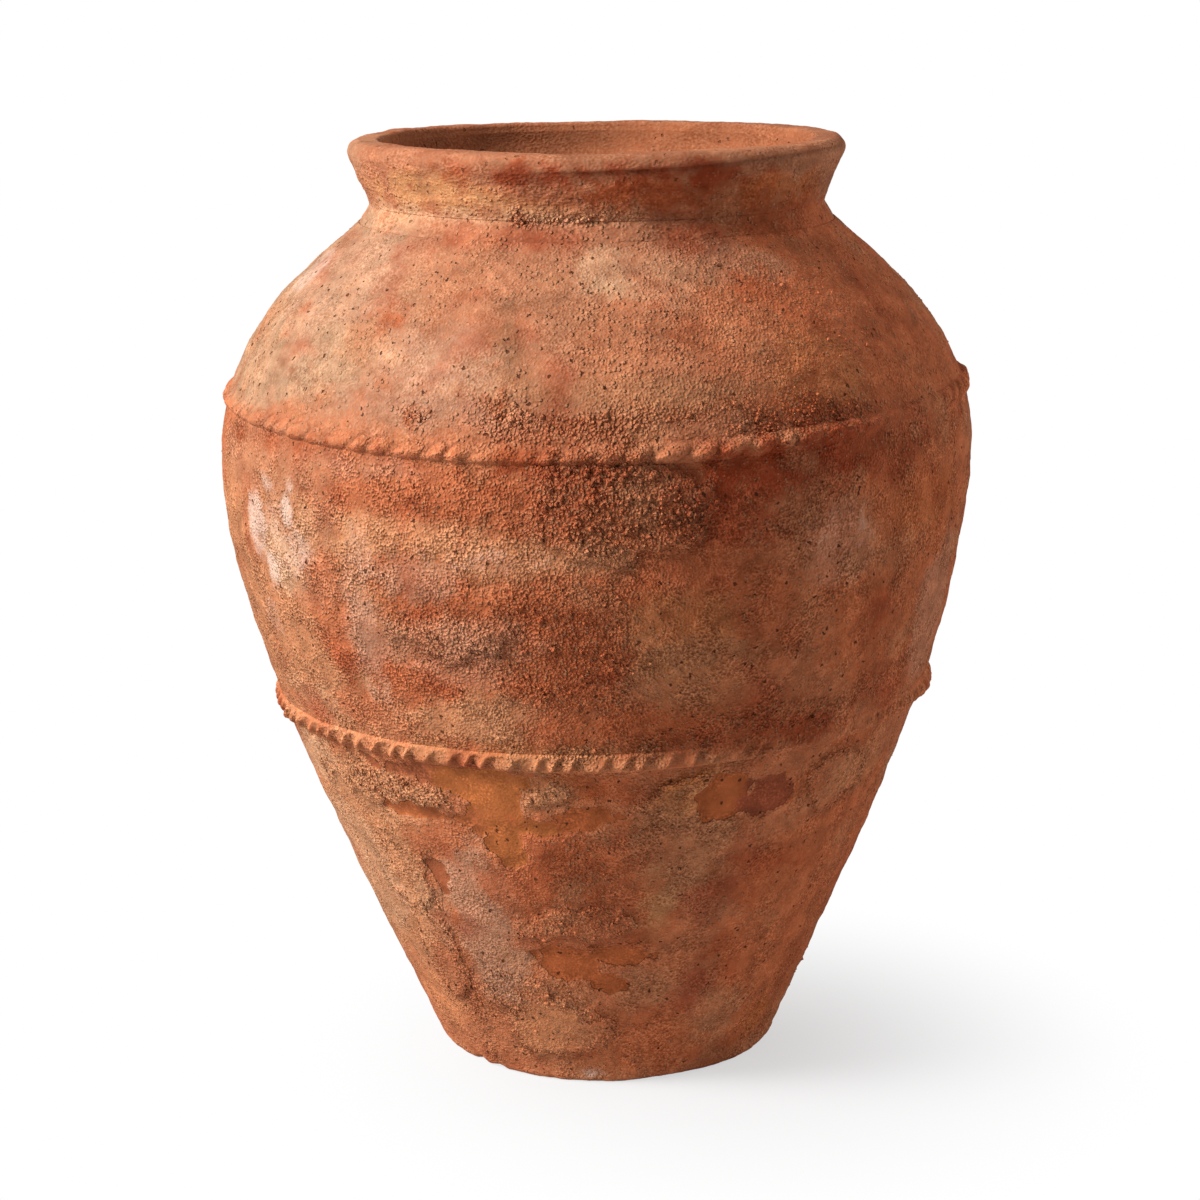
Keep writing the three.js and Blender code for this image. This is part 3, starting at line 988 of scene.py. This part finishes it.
def crumbs(low, high, count):
    """Points, faces and attributes of at most so many crumbs on the outer face between two heights."""
    z, angle = gritty_spots(low, high, count)
    r, slope = outline(z)
    steep = np.hypot(1, slope)
    skin = Skin(round_the_axis(r, z, angle))
    out = round_the_axis(1 / steep, -slope / steep, angle)
    along = np.stack([np.cos(angle), np.sin(angle), 0 * z], axis=-1)
    up = np.cross(out, along)
    spread = np.exp(CRUMB_SPREAD * draw.normal(size=len(z)))
    size = np.clip(CRUMB_SIZE * (0.6 + 0.7 * skin.grit**2) * spread, CRUMB_LEAST, CRUMB_MOST)[:, None]
    seat = skin.points + out * weathered_relief(skin)[:, None]
    turn = np.arange(CRUMB_SIDES) + draw.uniform(-0.25, 0.25, (len(z), CRUMB_SIDES))
    corner = 2 * np.pi * turn / CRUMB_SIDES
    reach = (size * draw.uniform(0.75, 1.3, corner.shape))[..., None]
    lift = (size * draw.uniform(0.0, 0.45, corner.shape))[..., None]
    sideways = np.cos(corner)[..., None] * along[:, None] + np.sin(corner)[..., None] * up[:, None]
    waist = seat[:, None] + reach * sideways + lift * out[:, None]
    top = seat + out * size * draw.uniform(0.5, 0.95, size.shape)
    sunk = seat - out * size * 0.8
    points = drift(np.concatenate([waist, top[:, None], sunk[:, None]], axis=1))
    fields = skin_fields(skin, np.zeros(len(z)), np.full(len(z), CRUMB_PAINTED_LIGHT))
    fields = {key: np.repeat(value, CRUMB_CORNERS, axis=0) for key, value in fields.items()}
    return points.reshape(-1, 3), crumb_faces(len(z)), fields


# %% Turning a section
def with_poles(points, faces, fields, columns):
    """Closes the first and the last row of a grid on the axis by fans of triangles."""
    last = len(points) - columns
    ring = np.arange(columns)
    nxt = np.roll(ring, -1)
    low_fan = np.stack([np.full(columns, len(points)), nxt, ring], 1)
    high_fan = np.stack([np.full(columns, len(points) + 1), last + ring, last + nxt], 1)
    ends = [points[:columns].mean(axis=0), points[last:].mean(axis=0)]
    fields = {key: np.concatenate([value, value[:1], value[-1:]]) for key, value in fields.items()}
    return np.concatenate([points, ends]), faces + low_fan.tolist() + high_fan.tolist(), fields


def with_crumbs(points, faces, fields, section, count):
    """Strews crumbs on the weathered face of a section and adds them to its mesh."""
    outer = section["z"][section["weather"] > 0]
    extra, extra_faces, extra_fields = crumbs(outer.min(), outer.max(), count)
    faces = faces + (extra_faces + len(points)).tolist()
    fields = {key: np.concatenate([value, extra_fields[key]]) for key, value in fields.items()}
    print(len(extra) // CRUMB_CORNERS, "crumbs strewn")
    return np.concatenate([points, extra]), faces, fields


def turned_mesh(name, section, columns, poles=False, crumb_count=0):
    """A section turned once round the axis: point = place + out times relief, on a grid of rows and
    columns. With poles, the first and last rows are closed on the axis by fans. Crumbs come last."""
    angle = np.linspace(-np.pi, np.pi, columns, endpoint=False)
    column = {key: section[key][:, None] for key in ROW.names}
    plain = round_the_axis(column["r"], column["z"], angle)
    out = round_the_axis(column["out_r"], column["out_z"], angle)
    skin = Skin(plain)
    weathered = weathered_relief(skin)
    height = column["weather"] * weathered + column["wipe"] * wiped_relief(skin)
    points = drift(plain + out * height[..., None]).reshape(-1, 3)
    inside = np.broadcast_to(1 - column["weather"], height.shape)
    fields = skin_fields(skin, inside, painted_shade_of_hollows(weathered) * column["weather"])
    fields = {key: value.reshape(len(points), *value.shape[2:]) for key, value in fields.items()}
    quads = closed_quads(len(section), columns)
    faces = (quads[:-columns] if poles else quads).tolist()
    if poles:
        points, faces, fields = with_poles(points, faces, fields, columns)
    if crumb_count:
        points, faces, fields = with_crumbs(points, faces, fields, section, crumb_count)
    mesh = make_mesh(name, points, faces, fields)
    joint = section["weather"] + section["wipe"] == 0
    steps = np.flatnonzero(joint[1:] != joint[:-1])
    crease(mesh, columns, steps if poles else np.concatenate([steps, steps + 1, [0]]))
    return mesh


# %% [markdown]
# ## Fired clay
# One recipe makes all the clay, and each slot of the record has its own measure of sand, crumbs and
# pits in it. The colours come from the weathering map, and noise frays the edges of the crust and of
# the lime. Sand lies in rough and in smooth areas. Its low parts get a warm painted shade, the gaps
# between granules, the pits and the rim of thick crust a dark painted shade, and the tops a painted
# highlight. Voronoi cells give the round granules, the crumbs and the small pits. The bump turns all of
# it into relief that catches the light from the side. Fired earthenware is matt, so it is rough nearly
# all over.

# %% Patterns in the clay
FINE_SIZE = 0.0014
LEATHER_SIZE = 0.0028
CLAY_GRAIN_SIZE = 0.0044
BLOTCH_SIZE = 0.017
AREA_SIZE = 0.022
RIDGE_SIZE = 0.0055
GRANULE_CELL = 0.0018
SAND_CELL = 0.0022
CRUMB_CELL = 0.0030
PIT_SPACING = 0.0062
PIT_WARP = 0.0028
PIT_WARP_SIZE = 0.004


class ClayPatterns:
    """The patterns of one clay as shader values, mostly from 0 to 1, on the jar's own coordinates."""

    def __init__(self, wire, crumbly, pits, wiping):
        self.wire = wire
        self.place = wire.node("ShaderNodeTexCoord", {}, {}, "Object")
        stretch = {0: self.place, 1: (wiping, wiping, 1)}
        self.drawn_out = wire.node("ShaderNodeVectorMath", {"operation": "MULTIPLY"}, stretch)
        self.fine = self.noise(FINE_SIZE, 0)
        self.leather = self.noise(LEATHER_SIZE, 2)
        self.grain = self.noise(CLAY_GRAIN_SIZE, 2)
        self.blotch = self.noise(BLOTCH_SIZE, 4)
        self.coarse = 0.15 + 1.2 * self.noise(AREA_SIZE, 3).rise(0.38, 0.64)
        self.level = 0.6 * self.leather + 0.4 * self.fine
        self.granule = self.cells(self.place, GRANULE_CELL, "Distance").rise(0.72, 0.15)
        self.crust = self.frayed("crust", 0.3)
        self.thick = self.frayed("thick", 0.4)
        bloom = self.amount("bloom") + 0.8 * (self.blotch - 0.5) + 0.5 * (self.grain - 0.5)
        self.bloom = bloom.rise(0.20, 0.95)
        self.grit = self.amount("grit") * crumbly
        self.gritty = self.grit.rise(0.35, 0.85)
        self.read_crumbs()
        self.read_pits(pits)

    def noise(self, size, detail, output="Fac"):
        inputs = {"Vector": self.drawn_out, "Scale": 1 / size, "Detail": detail}
        return self.wire.node("ShaderNodeTexNoise", {}, inputs, output)

    def cells(self, where, size, output):
        return self.wire.node("ShaderNodeTexVoronoi", {}, {"Vector": where, "Scale": 1 / size}, output)

    def chance(self, where, size):
        """One random number for each cell: the red of its random colour."""
        return self.wire.node("ShaderNodeSeparateColor", {}, {0: self.cells(where, size, "Color")}, 0)

    def amount(self, attribute):
        return self.wire.node("ShaderNodeAttribute", {"attribute_name": attribute}, {}, "Fac")

    def tint(self, attribute):
        return self.wire.node("ShaderNodeAttribute", {"attribute_name": attribute}, {}, "Color")

    def frayed(self, attribute, fray):
        """An amount of the map with a sharp edge that the grain frays."""
        worn = self.amount(attribute) + 0.7 * (self.grain - 0.5) + fray * (self.fine - 0.5)
        return worn.rise(0.42, 0.58)

    def read_crumbs(self):
        """Crumbs and sand grains are domes in some of the cells, more where it is gritty. Ridges are thin
        wavering lines, where a noise crosses its middle."""
        crumb_dome = self.cells(self.place, CRUMB_CELL, "Distance").rise(0.50, 0.15)
        self.crumb = crumb_dome * (self.grit - self.chance(self.place, CRUMB_CELL)).rise(0.0, 0.2)
        sand_dome = self.cells(self.place, SAND_CELL, "Distance").rise(0.58, 0.12)
        self.sand_grain = sand_dome * (self.chance(self.place, SAND_CELL) + 0.4 * self.grit).rise(0.78, 1.10)
        off_line = self.wire.math("ABSOLUTE", self.noise(RIDGE_SIZE, 2) - 0.5, 0)
        self.ridge = off_line.rise(0.07, 0.0) * self.grain.rise(0.45, 0.58) * self.grit

    def read_pits(self, share):
        """Pits are the middles of some warped cells, more of them where the blotches are light."""
        wander = self.noise(PIT_WARP_SIZE, 2, "Color").times(PIT_WARP)
        warped = self.wire.node("ShaderNodeVectorMath", {"operation": "ADD"}, {0: self.place, 1: wander})
        near = self.cells(warped, PIT_SPACING, "Distance") + 0.35 * (self.fine - 0.5)
        chance = self.chance(warped, PIT_SPACING) + 1.3 * (self.blotch - 0.5)
        self.pit = near.rise(0.20, 0.11) * chance.rise(0.71, 0.77) * share


# %% The clay recipe
# Painted shade: the dark colour laid in the pits.
PAINTED_PIT_SHADE = solid_colour(0.075, 0.020, 0.009)
# Painted shade: the dark colour laid in the relief's low parts, between granules and round thick crust.
PAINTED_CREVICE_SHADE = solid_colour(0.135, 0.028, 0.009)
# Pale dust, partly a painted highlight on what stands out.
DUST_AND_HIGHLIGHT = solid_colour(0.51, 0.255, 0.133)
# Painted warm shade: the deeper colour that the low parts of the relief are multiplied by.
PAINTED_WARM_SHADE = solid_colour(1.0, 0.74, 0.55)
BUMP_UNIT = 0.001
BARE_ROUGH = 0.80
CRUST_ROUGHER = 0.14
DULL_SHINE = 0.06


def clay_colour(clay, sand):
    """Bare body or crust by the map, lighter and darker by the grain; then lime, painted warm shade and
    painted shade in the relief's low parts, pale dust partly as painted highlight on all that stands out,
    a painted shadow line round thick crust, and painted shade in the pits."""
    sandy = 0.34 * (clay.leather - 0.5) + 0.60 * (clay.fine - 0.5)
    speckle = clay.coarse * sandy + 0.25 * (clay.grain - 0.5)
    # The hollow amount is painted shade in the relief's hollows and painted light on what stands out.
    tone = 0.95 + 0.75 * (clay.blotch - 0.5) + (0.4 + 0.6 * sand) * speckle - 0.25 * clay.amount("hollow")
    # Painted highlight and painted shade: granule middles are lighter and the gaps between them darker.
    tone = tone + 0.55 * clay.gritty * (clay.granule - 0.20) + 0.30 * clay.sand_grain + 0.15 * clay.ridge
    # Painted highlight: the tops of the fine relief are lighter.
    tone = tone + 0.18 * sand * clay.coarse * clay.level.rise(0.52, 0.66)
    colour = clay.tint("bare_tint").toward(clay.tint("crust_tint"), clay.crust).times(tone)
    colour = colour.toward(solid_colour(*LIME), clay.bloom * 0.68)
    # Painted warm shade: the low parts of the fine relief take the warm colour, as bounced light would give
    # them.
    colour = colour.stained(PAINTED_WARM_SHADE, clay.level.rise(0.56, 0.38) * clay.crust * 0.5)
    # Painted shade in the low parts of the fine relief and between the granules.
    painted_gap_shade = clay.level.rise(0.48, 0.34) * (0.25 * clay.gritty + 0.10 * sand * clay.coarse)
    colour = colour.toward(PAINTED_CREVICE_SHADE, painted_gap_shade * clay.crust)
    colour = colour.toward(PAINTED_CREVICE_SHADE, clay.granule.rise(0.30, 0.0) * clay.gritty * clay.crust * 0.35)
    # Crumbs, sand grains and thick crust are paler: pale dust, partly a painted highlight on their tops.
    dust_and_highlight_share = 0.35 * clay.crumb + 0.30 * clay.sand_grain + 0.08 * clay.thick
    colour = colour.toward(DUST_AND_HIGHLIGHT, dust_and_highlight_share * clay.crust)
    # Painted shadow: a dark line round the edge of thick crust.
    colour = colour.toward(PAINTED_CREVICE_SHADE, clay.thick * (1 - clay.thick) * 2.0)
    # Painted shade in the pits.
    return colour.toward(PAINTED_PIT_SHADE, clay.pit * 0.85)


def clay_height(clay, sand):
    """The relief in bump units: the crust and its sand, then granules, sheets and crumbs, less the pits."""
    rubbed = 1 - 0.7 * clay.amount("wiped")
    rough = clay.coarse * (0.6 * clay.leather + 0.9 * clay.fine) + 0.3 * clay.grain + 0.7 * clay.sand_grain
    height = clay.crust * (0.7 + sand * rubbed * rough)
    height = height + (0.30 + 0.3 * clay.gritty) * clay.fine + 1.1 * clay.gritty * clay.granule
    return height + 0.9 * clay.thick + 1.2 * clay.crumb + 0.9 * clay.ridge - 1.2 * clay.pit


def fired_clay(name, sand, crumbly, pits, wiping=1.0):
    """Clay whose sand, crumbs and pits are given as shares of the strongest weathering. Where a wet hand
    went round it, wiping below 1 draws the fine grain out sideways."""
    material, wire = new_material(name)
    clay = ClayPatterns(wire, crumbly, pits, wiping)
    relief = {"Strength": 1.0, "Distance": BUMP_UNIT, "Height": clay_height(clay, sand)}
    finish = {
        "Base Color": clay_colour(clay, sand),
        "Roughness": BARE_ROUGH + CRUST_ROUGHER * clay.crust,
        "Normal": wire.node("ShaderNodeBump", {}, relief),
        "Specular IOR Level": DULL_SHINE,
    }
    surface = wire.node("ShaderNodeBsdfPrincipled", {}, finish)
    wire.node("ShaderNodeOutputMaterial", {}, {"Surface": surface})
    print(name, "has", len(material.node_tree.nodes), "nodes")
    return material


# %% [markdown]
# ## The foot
# The foot is a flat disc of clay. Its edge was rounded by years of being shifted about, and bits have
# broken off it. The disc is the one wall piece that reaches the axis, so both its faces end in a pole.

# %% Base slab
FOOT_ROUND = 0.006
POLE_RING = 0.006
FOOT_COLUMNS = 720

foot_edge = float(outline(FOOT_ROUND)[0])
floor_edge = float(outline(FLOOR_LEVEL)[0])
under = np.linspace(POLE_RING, foot_edge - FOOT_ROUND, 8)[:-1]
over = np.linspace(floor_edge, POLE_RING, 10)[1:]
slab_section = np.concatenate([
    rows(under, 0.0, 0, -1, 0, 0),
    arc_rows(foot_edge - FOOT_ROUND, FOOT_ROUND, FOOT_ROUND, -90, 0, 9, 1, 0),
    outer_rows(FOOT_ROUND, FLOOR_LEVEL, 11)[1:],
    rows(over, FLOOR_LEVEL, 0, 1, 0, 0),
])
foot_clay = fired_clay("foot_clay", sand=1.0, crumbly=1.0, pits=0.9)
slab_mesh = turned_mesh("base_slab_fired", slab_section, FOOT_COLUMNS, poles=True)
place_piece(slab_mesh, "base_slab", foot_clay)

# %% [markdown]
# ## Floor coil
# A roll of clay was smeared into the corner between floor and wall to seal it. It is a hollow curve
# from the wall down to the floor, and the thumb that pressed it left the wiped rings on it.

# %% Floor seam coil
COIL_RISE_INSIDE = 0.026
COIL_REACH_INSIDE = 0.024
COIL_TUCK = 0.001
COIL_COLUMNS = 240


def bezier(start, middle, end, t):
    """A quadratic Bezier curve: (1 - t)^2 start + 2 t (1 - t) middle + t^2 end."""
    return start * (1 - t) ** 2 + 2 * middle * t * (1 - t) + end * t**2


coil_top = FLOOR_LEVEL + COIL_RISE_INSIDE
corner = float(inner_radius(FLOOR_LEVEL))
wall_top = float(inner_radius(coil_top))
sweep = np.linspace(0, 1, 14)
cove_r = bezier(wall_top, corner, corner - COIL_REACH_INSIDE, sweep)
cove_z = bezier(coil_top, FLOOR_LEVEL, FLOOR_LEVEL, sweep)
coil_section = np.concatenate([
    rows(cove_r, cove_z, -(1 - sweep), sweep, 0, 0.6),
    joint_rows((corner - COIL_REACH_INSIDE, FLOOR_LEVEL - COIL_TUCK), (corner, FLOOR_LEVEL - COIL_TUCK), 3),
    rows(np.array([corner, wall_top]) + COIL_TUCK, np.array([FLOOR_LEVEL, coil_top]), 1, 0, 0, 0),
])
inner_clay = fired_clay("inner_clay", sand=0.6, crumbly=0.5, pits=0.5)
coil_mesh = turned_mesh("floor_seam_coil_fired", coil_section, COIL_COLUMNS)
place_piece(coil_mesh, "floor_seam_coil", inner_clay)

# %% [markdown]
# ## The three courses of wall
# A jar this size can't be raised in one go: the clay would slump. Each course was left to stiffen
# before the next was set on its bevelled edge. The outer face needs a fine grid for the crust, with a
# point every two millimetres; the inner face is nearly plain and takes far fewer rows.

# %% Lower wall, belly and shoulder
INNER_ROWS = 11
COURSE_CRUMBS = 2800


def course_section(outer_low, outer_high, inner_low, inner_high, count):
    """Outer face up, joint across, inner face down and joint back."""
    low_out = (float(outline(outer_low)[0]), outer_low)
    high_out = (float(outline(outer_high)[0]), outer_high)
    low_in = (float(inner_radius(inner_low)), inner_low)
    high_in = (float(inner_radius(inner_high)), inner_high)
    return np.concatenate([
        outer_rows(outer_low, outer_high, count),
        joint_rows(high_out, high_in, 2),
        inner_rows(inner_high, inner_low, INNER_ROWS),
        joint_rows(low_in, low_out, 2),
    ])


LOWER_SCARF = LOWER_SEAM + SCARF
UPPER_SCARF = UPPER_SEAM + SCARF
# Node, slot, sand, lower and upper seam on the outer face, the same on the inner face, rows, columns
COURSES = [
    ("lower_wall", "lower_clay", 0.95, FLOOR_LEVEL, LOWER_SEAM, FLOOR_LEVEL, LOWER_SCARF, 116, 620),
    ("belly_wall", "belly_clay", 1.3, LOWER_SEAM, UPPER_SEAM, LOWER_SCARF, UPPER_SCARF, 100, 700),
    ("shoulder_wall", "shoulder_clay", 0.38, UPPER_SEAM, LEDGE, UPPER_SCARF, LEDGE, 100, 680),
]
for node, slot, sand, *seams, count, columns in COURSES:
    clay = fired_clay(slot, sand, crumbly=1.0, pits=1.0)
    course = course_section(*seams, count)
    course_mesh = turned_mesh(node + "_fired", course, columns, crumb_count=COURSE_CRUMBS)
    place_piece(course_mesh, node, clay)

# %% [markdown]
# ## Neck and lip
# The collar stands on the ledge of the shoulder, and a thin roll of clay hides that joint on the
# outside. It shows as a pale ring between two fine shadow lines. A wet hand wiped the neck round and
# left level streaks on it. The lip is one thick coil, which overhangs the neck on the right of the
# front. It was flattened on top, and it is smoother than the rest because hands have worn it.

# %% Neck seam coil
NECK_COLUMNS = 780
NECK_WALL = 0.018
ROLL_LOW = LEDGE
ROLL_TOP = 0.5610
ROLL_BULGE = 0.0022
ROLL_GROOVE = 0.0011
ROLL_ROWS = 18
ROLL_CRUMBS = 420
ROLL_BACK = 0.002
COLLAR_INSET = 0.001

collar_foot = float(outline(THROAT)[0]) - COLLAR_INSET
roll = outer_rows(ROLL_LOW, ROLL_TOP, ROLL_ROWS)
swell = ROLL_BULGE * np.sin(np.pi * np.linspace(0, 1, ROLL_ROWS)) - ROLL_GROOVE
roll["r"] += roll["out_r"] * swell
roll["z"] += roll["out_z"] * swell
roll_section = np.concatenate([
    roll,
    rows(collar_foot - ROLL_BACK, np.array([ROLL_TOP, ROLL_LOW]), -1, 0, 0, 0),
])
neck_clay = fired_clay("neck_clay", sand=0.38, crumbly=0.9, pits=0.6, wiping=0.7)
roll_mesh = turned_mesh("neck_seam_coil_fired", roll_section, NECK_COLUMNS, crumb_count=ROLL_CRUMBS)
place_piece(roll_mesh, "neck_seam_coil", neck_clay)

# %% Collar
COLLAR_SHOWS = 0.5600
COLLAR_HIDDEN = 0.5595
COLLAR_CRUMBS = 120
RIM_SEAM_RADIUS = float(outline(RIM_SEAM)[0])
collar_top = RIM_SEAM + SCARF
collar_outer = outer_rows(COLLAR_SHOWS, RIM_SEAM, 26)
neck_in_z = np.linspace(collar_top, LEDGE, 10)
neck_in_r = np.maximum(outline(np.clip(neck_in_z, THROAT, RIM_SEAM))[0], collar_foot) - NECK_WALL
collar_section = np.concatenate([
    rows(collar_foot, np.array([LEDGE, COLLAR_HIDDEN]), 1, 0, 0, 0),
    collar_outer,
    joint_rows((RIM_SEAM_RADIUS, RIM_SEAM), (neck_in_r[0], collar_top), 2),
    rows(neck_in_r, neck_in_z, -1, 0, 0, 1),
    joint_rows((neck_in_r[-1], LEDGE), (collar_foot, LEDGE), 2),
])
collar_mesh = turned_mesh("neck_collar_fired", collar_section, NECK_COLUMNS, crumb_count=COLLAR_CRUMBS)
place_piece(collar_mesh, "neck_collar", neck_clay)

# %% Rim
LIP_RADIUS = 0.1584
LIP_ROUND = 0.0072
LIP_INNER_ROUND = 0.0032
LIP_WIDTH = 0.020
LIP_TURN = -22.8

lip_inner = LIP_RADIUS - LIP_WIDTH
inner_round = (lip_inner + LIP_INNER_ROUND, LIP_TOP - LIP_INNER_ROUND, LIP_INNER_ROUND)
lip_start = LIP_TOP - LIP_ROUND * (1 - math.sin(math.radians(LIP_TURN)))
throat_z = np.linspace(LIP_TOP - LIP_INNER_ROUND, collar_top, 4)[1:]
fade = np.linspace(1, 0, 9)
rim_section = np.concatenate([
    outer_rows(RIM_SEAM, lip_start, 10)[:-1],
    arc_rows(LIP_RADIUS - LIP_ROUND, LIP_TOP - LIP_ROUND, LIP_ROUND, LIP_TURN, 90, 16, 1, 0),
    arc_rows(*inner_round, 90, 180, 9, fade, 1 - fade),
    rows(np.linspace(lip_inner, neck_in_r[0], 4)[1:], throat_z, -1, 0, 0, 1),
    joint_rows((neck_in_r[0], collar_top), (RIM_SEAM_RADIUS, RIM_SEAM), 2),
])
rim_clay = fired_clay("rim_clay", sand=0.35, crumbly=0.8, pits=0.5, wiping=0.7)
place_piece(turned_mesh("rim_coil_fired", rim_section, NECK_COLUMNS), "rim_coil", rim_clay)

# %% [markdown]
# ## The ropes
# A rope of soft clay was laid over each seam and pressed with a fingertip all the way round. The upper
# presses are slanted, and between them the clay stands up in leaves like the strands of a rope. The
# lower ones are round scoops. The surface is the wall's own, raised by the rope's section times what
# the presses leave, with the edges sunk in the wall so that they join it along an uneven line. The
# presses wander a little, and where the rope is worn they are shallow.

# %% Pressed ropes
ROPE_STATION = 0.00085
ROPE_SINK = 0.0012
ROPE_BACK = 0.004
ROPE_SMEAR = 22.0
ACROSS = 26
BACK_ROWS = 4
WANDER_SIZE = 0.11
FORCE_SIZE = 0.07
UNEVEN = 0.18


def rope_mesh(name, level, low, high, raise_rope):
    """A rope of clay: the wall's own surface raised by raise_rope(angle, v, wander, force), where v goes
    across the rope from -1 at its lower edge to 1 at its upper edge. Both edges are sunk in the wall."""
    columns = int(2 * math.pi * float(outline(level(0.0))[0]) / ROPE_STATION)
    angle = np.linspace(-np.pi, np.pi, columns, endpoint=False)[None, :]
    v = np.concatenate([np.linspace(-1, 1, ACROSS), np.linspace(0.9, -0.9, BACK_ROWS)])[:, None]
    back = np.concatenate([np.zeros(ACROSS), np.ones(BACK_ROWS)])[:, None]
    z = level(angle) + np.where(v < 0, v * low, v * high)
    r, slope = outline(z)
    steep = np.hypot(1, slope)
    plain = round_the_axis(r, z, angle)
    out = round_the_axis(1 / steep, -slope / steep, angle)
    skin = Skin(plain)
    ring = np.concatenate([np.sin(angle), np.cos(angle), 0 * angle], 0).T
    wander = field(ring + 4.0, WANDER_SIZE)[None, :] + ROPE_SMEAR * skin.ragged
    force = field(ring + 9.0, FORCE_SIZE)[None, :]
    proud = raise_rope(np.degrees(angle), v, wander, force) * (1 + UNEVEN * skin.lumps)
    fine = CRUMB_HEIGHT * skin.grit * smooth_step(1.6 * skin.grain) + 2 * GRAIN_HEIGHT * skin.grain
    raised = lump_relief(skin) + proud - ROPE_SINK * np.abs(v) ** 3 + fine
    raised = np.where(back > 0, -ROPE_BACK, raised)
    points = drift(plain + out * raised[..., None])
    fields = skin_fields(skin, np.zeros(raised.shape), painted_shade_of_hollows(raised) * (1 - back))
    fields["crust"] = np.ones(raised.shape)
    return make_mesh(name, points, closed_quads(ACROSS + BACK_ROWS, columns).tolist(), fields)


# %% Upper rope
UPPER_PRESSES = 87
UPPER_PITCH = 17.0
UPPER_HALF = 8.0
UPPER_CLIMB = 0.0022
UPPER_SAG = 0.0035
UPPER_BELOW = 0.0075
UPPER_ABOVE = 0.0088
UPPER_TALL = 0.0046
UPPER_TALLER = 0.0026
LEAF_TURN = math.radians(32)
LEAF_LONG = 9.5
LEAF_WIDE = 5.0
LEAF_SHARE = 0.55
# Where the leaves are buried or worn: middle and width in degrees, share
UPPER_WORN = [(-11, 8, 0.75), (50, 24, 0.60), (25, 13, 0.35), (-74, 14, 0.5)]


def upper_level(angle):
    """The upper rope lies lowest at the front and the back and a little higher on the right."""
    return UPPER_SEAM + UPPER_CLIMB * np.sin(angle) - UPPER_SAG * np.cos(2 * angle)


def upper_raise(angle, v, wander, force):
    """A ridge with slanting leaves on it. Each leaf is half an oval, one minus the square of the way from
    its middle in half sizes, and the highest of three neighbours counts. Below its crest the ridge falls
    steeply to the belly; above it the ridge runs out into the shoulder. On the right the crest is higher.
    Crumbs bury the leaves left of the middle, and on both sides of the front they are worn down."""
    tall = UPPER_TALL + UPPER_TALLER * bell(angle, 14, 38)
    buried = sum(share * bell(angle, middle, width) for middle, width, share in UPPER_WORN)
    pressed = np.clip(0.9 + 0.5 * force, 0.3, 1.2) * (1 - buried)
    t = (UPPER_PRESSES * angle / 360 + 0.45 * wander) % 1.0
    leaf = np.zeros(t.shape)
    for step in (-1, 0, 1):
        along = (t - 0.5 + step) * UPPER_PITCH
        across = (v + 0.12) * UPPER_HALF
        far = np.cos(LEAF_TURN) * along + np.sin(LEAF_TURN) * across
        off = np.cos(LEAF_TURN) * across - np.sin(LEAF_TURN) * along
        leaf = np.maximum(leaf, 1 - (far / LEAF_LONG) ** 2 - (off / LEAF_WIDE) ** 2)
    crest = -0.30 + 0.45 * smooth_step((angle - 8) / 24) * (1 - smooth_step((angle - 80) / 60))
    side = smooth_step((v + 0.97) / (crest + 0.97)) * (1 - smooth_step((v - crest) / (1 - crest)))
    foot = smooth_step((v + 0.97) / 0.35)
    return tall * ((1 - LEAF_SHARE) * side + LEAF_SHARE * foot * leaf**0.8 * pressed)


rope_clay = fired_clay("rope_clay", sand=0.9, crumbly=0.9, pits=0.5)
upper_rope = rope_mesh("upper_rope_cordon_fired", upper_level, UPPER_BELOW, UPPER_ABOVE, upper_raise)
place_piece(upper_rope, "upper_rope_cordon", rope_clay)

# %% Lower rope
LOWER_PRESSES = 99
LOWER_BELOW = 0.0070
LOWER_ABOVE = 0.0068
LOWER_TALL = 0.0056
LOWER_CLIMB = 0.0042
LOWER_LEAN = -0.28
LOWER_DEPTH = 0.70
SCOOP_SKEW = 0.65


def lower_level(angle):
    """The lower rope climbs to the right."""
    return LOWER_SEAM + LOWER_CLIMB * np.sin(angle)


def lower_raise(angle, v, wander, force):
    """Round fingertip scoops: each is steep on its left and runs out to the right into the next bulge.
    They fade on the right of the front, where the rope was smeared flat."""
    smeared = 0.7 * bell(angle, 38, 12)
    tall = LOWER_TALL + 0.0008 * force - 0.0022 * smeared
    across = np.clip(1 - v**2, 0, 1) ** 1.1
    t = (LOWER_PRESSES * angle / 360 + 0.40 * wander + LOWER_LEAN * v) % 1.0
    dip = np.sin(np.pi * t**SCOOP_SKEW) ** 1.3
    reach = 1 - smooth_step((np.abs(v + 0.05) - 0.5) / 0.5)
    pressed = np.clip(0.95 + 0.4 * force, 0.4, 1.2) * (1 - 0.85 * smeared)
    return tall * across * (1 - LOWER_DEPTH * dip * reach * pressed)


lower_rope = rope_mesh("lower_rope_cordon_fired", lower_level, LOWER_BELOW, LOWER_ABOVE, lower_raise)
place_piece(lower_rope, "lower_rope_cordon", rope_clay)
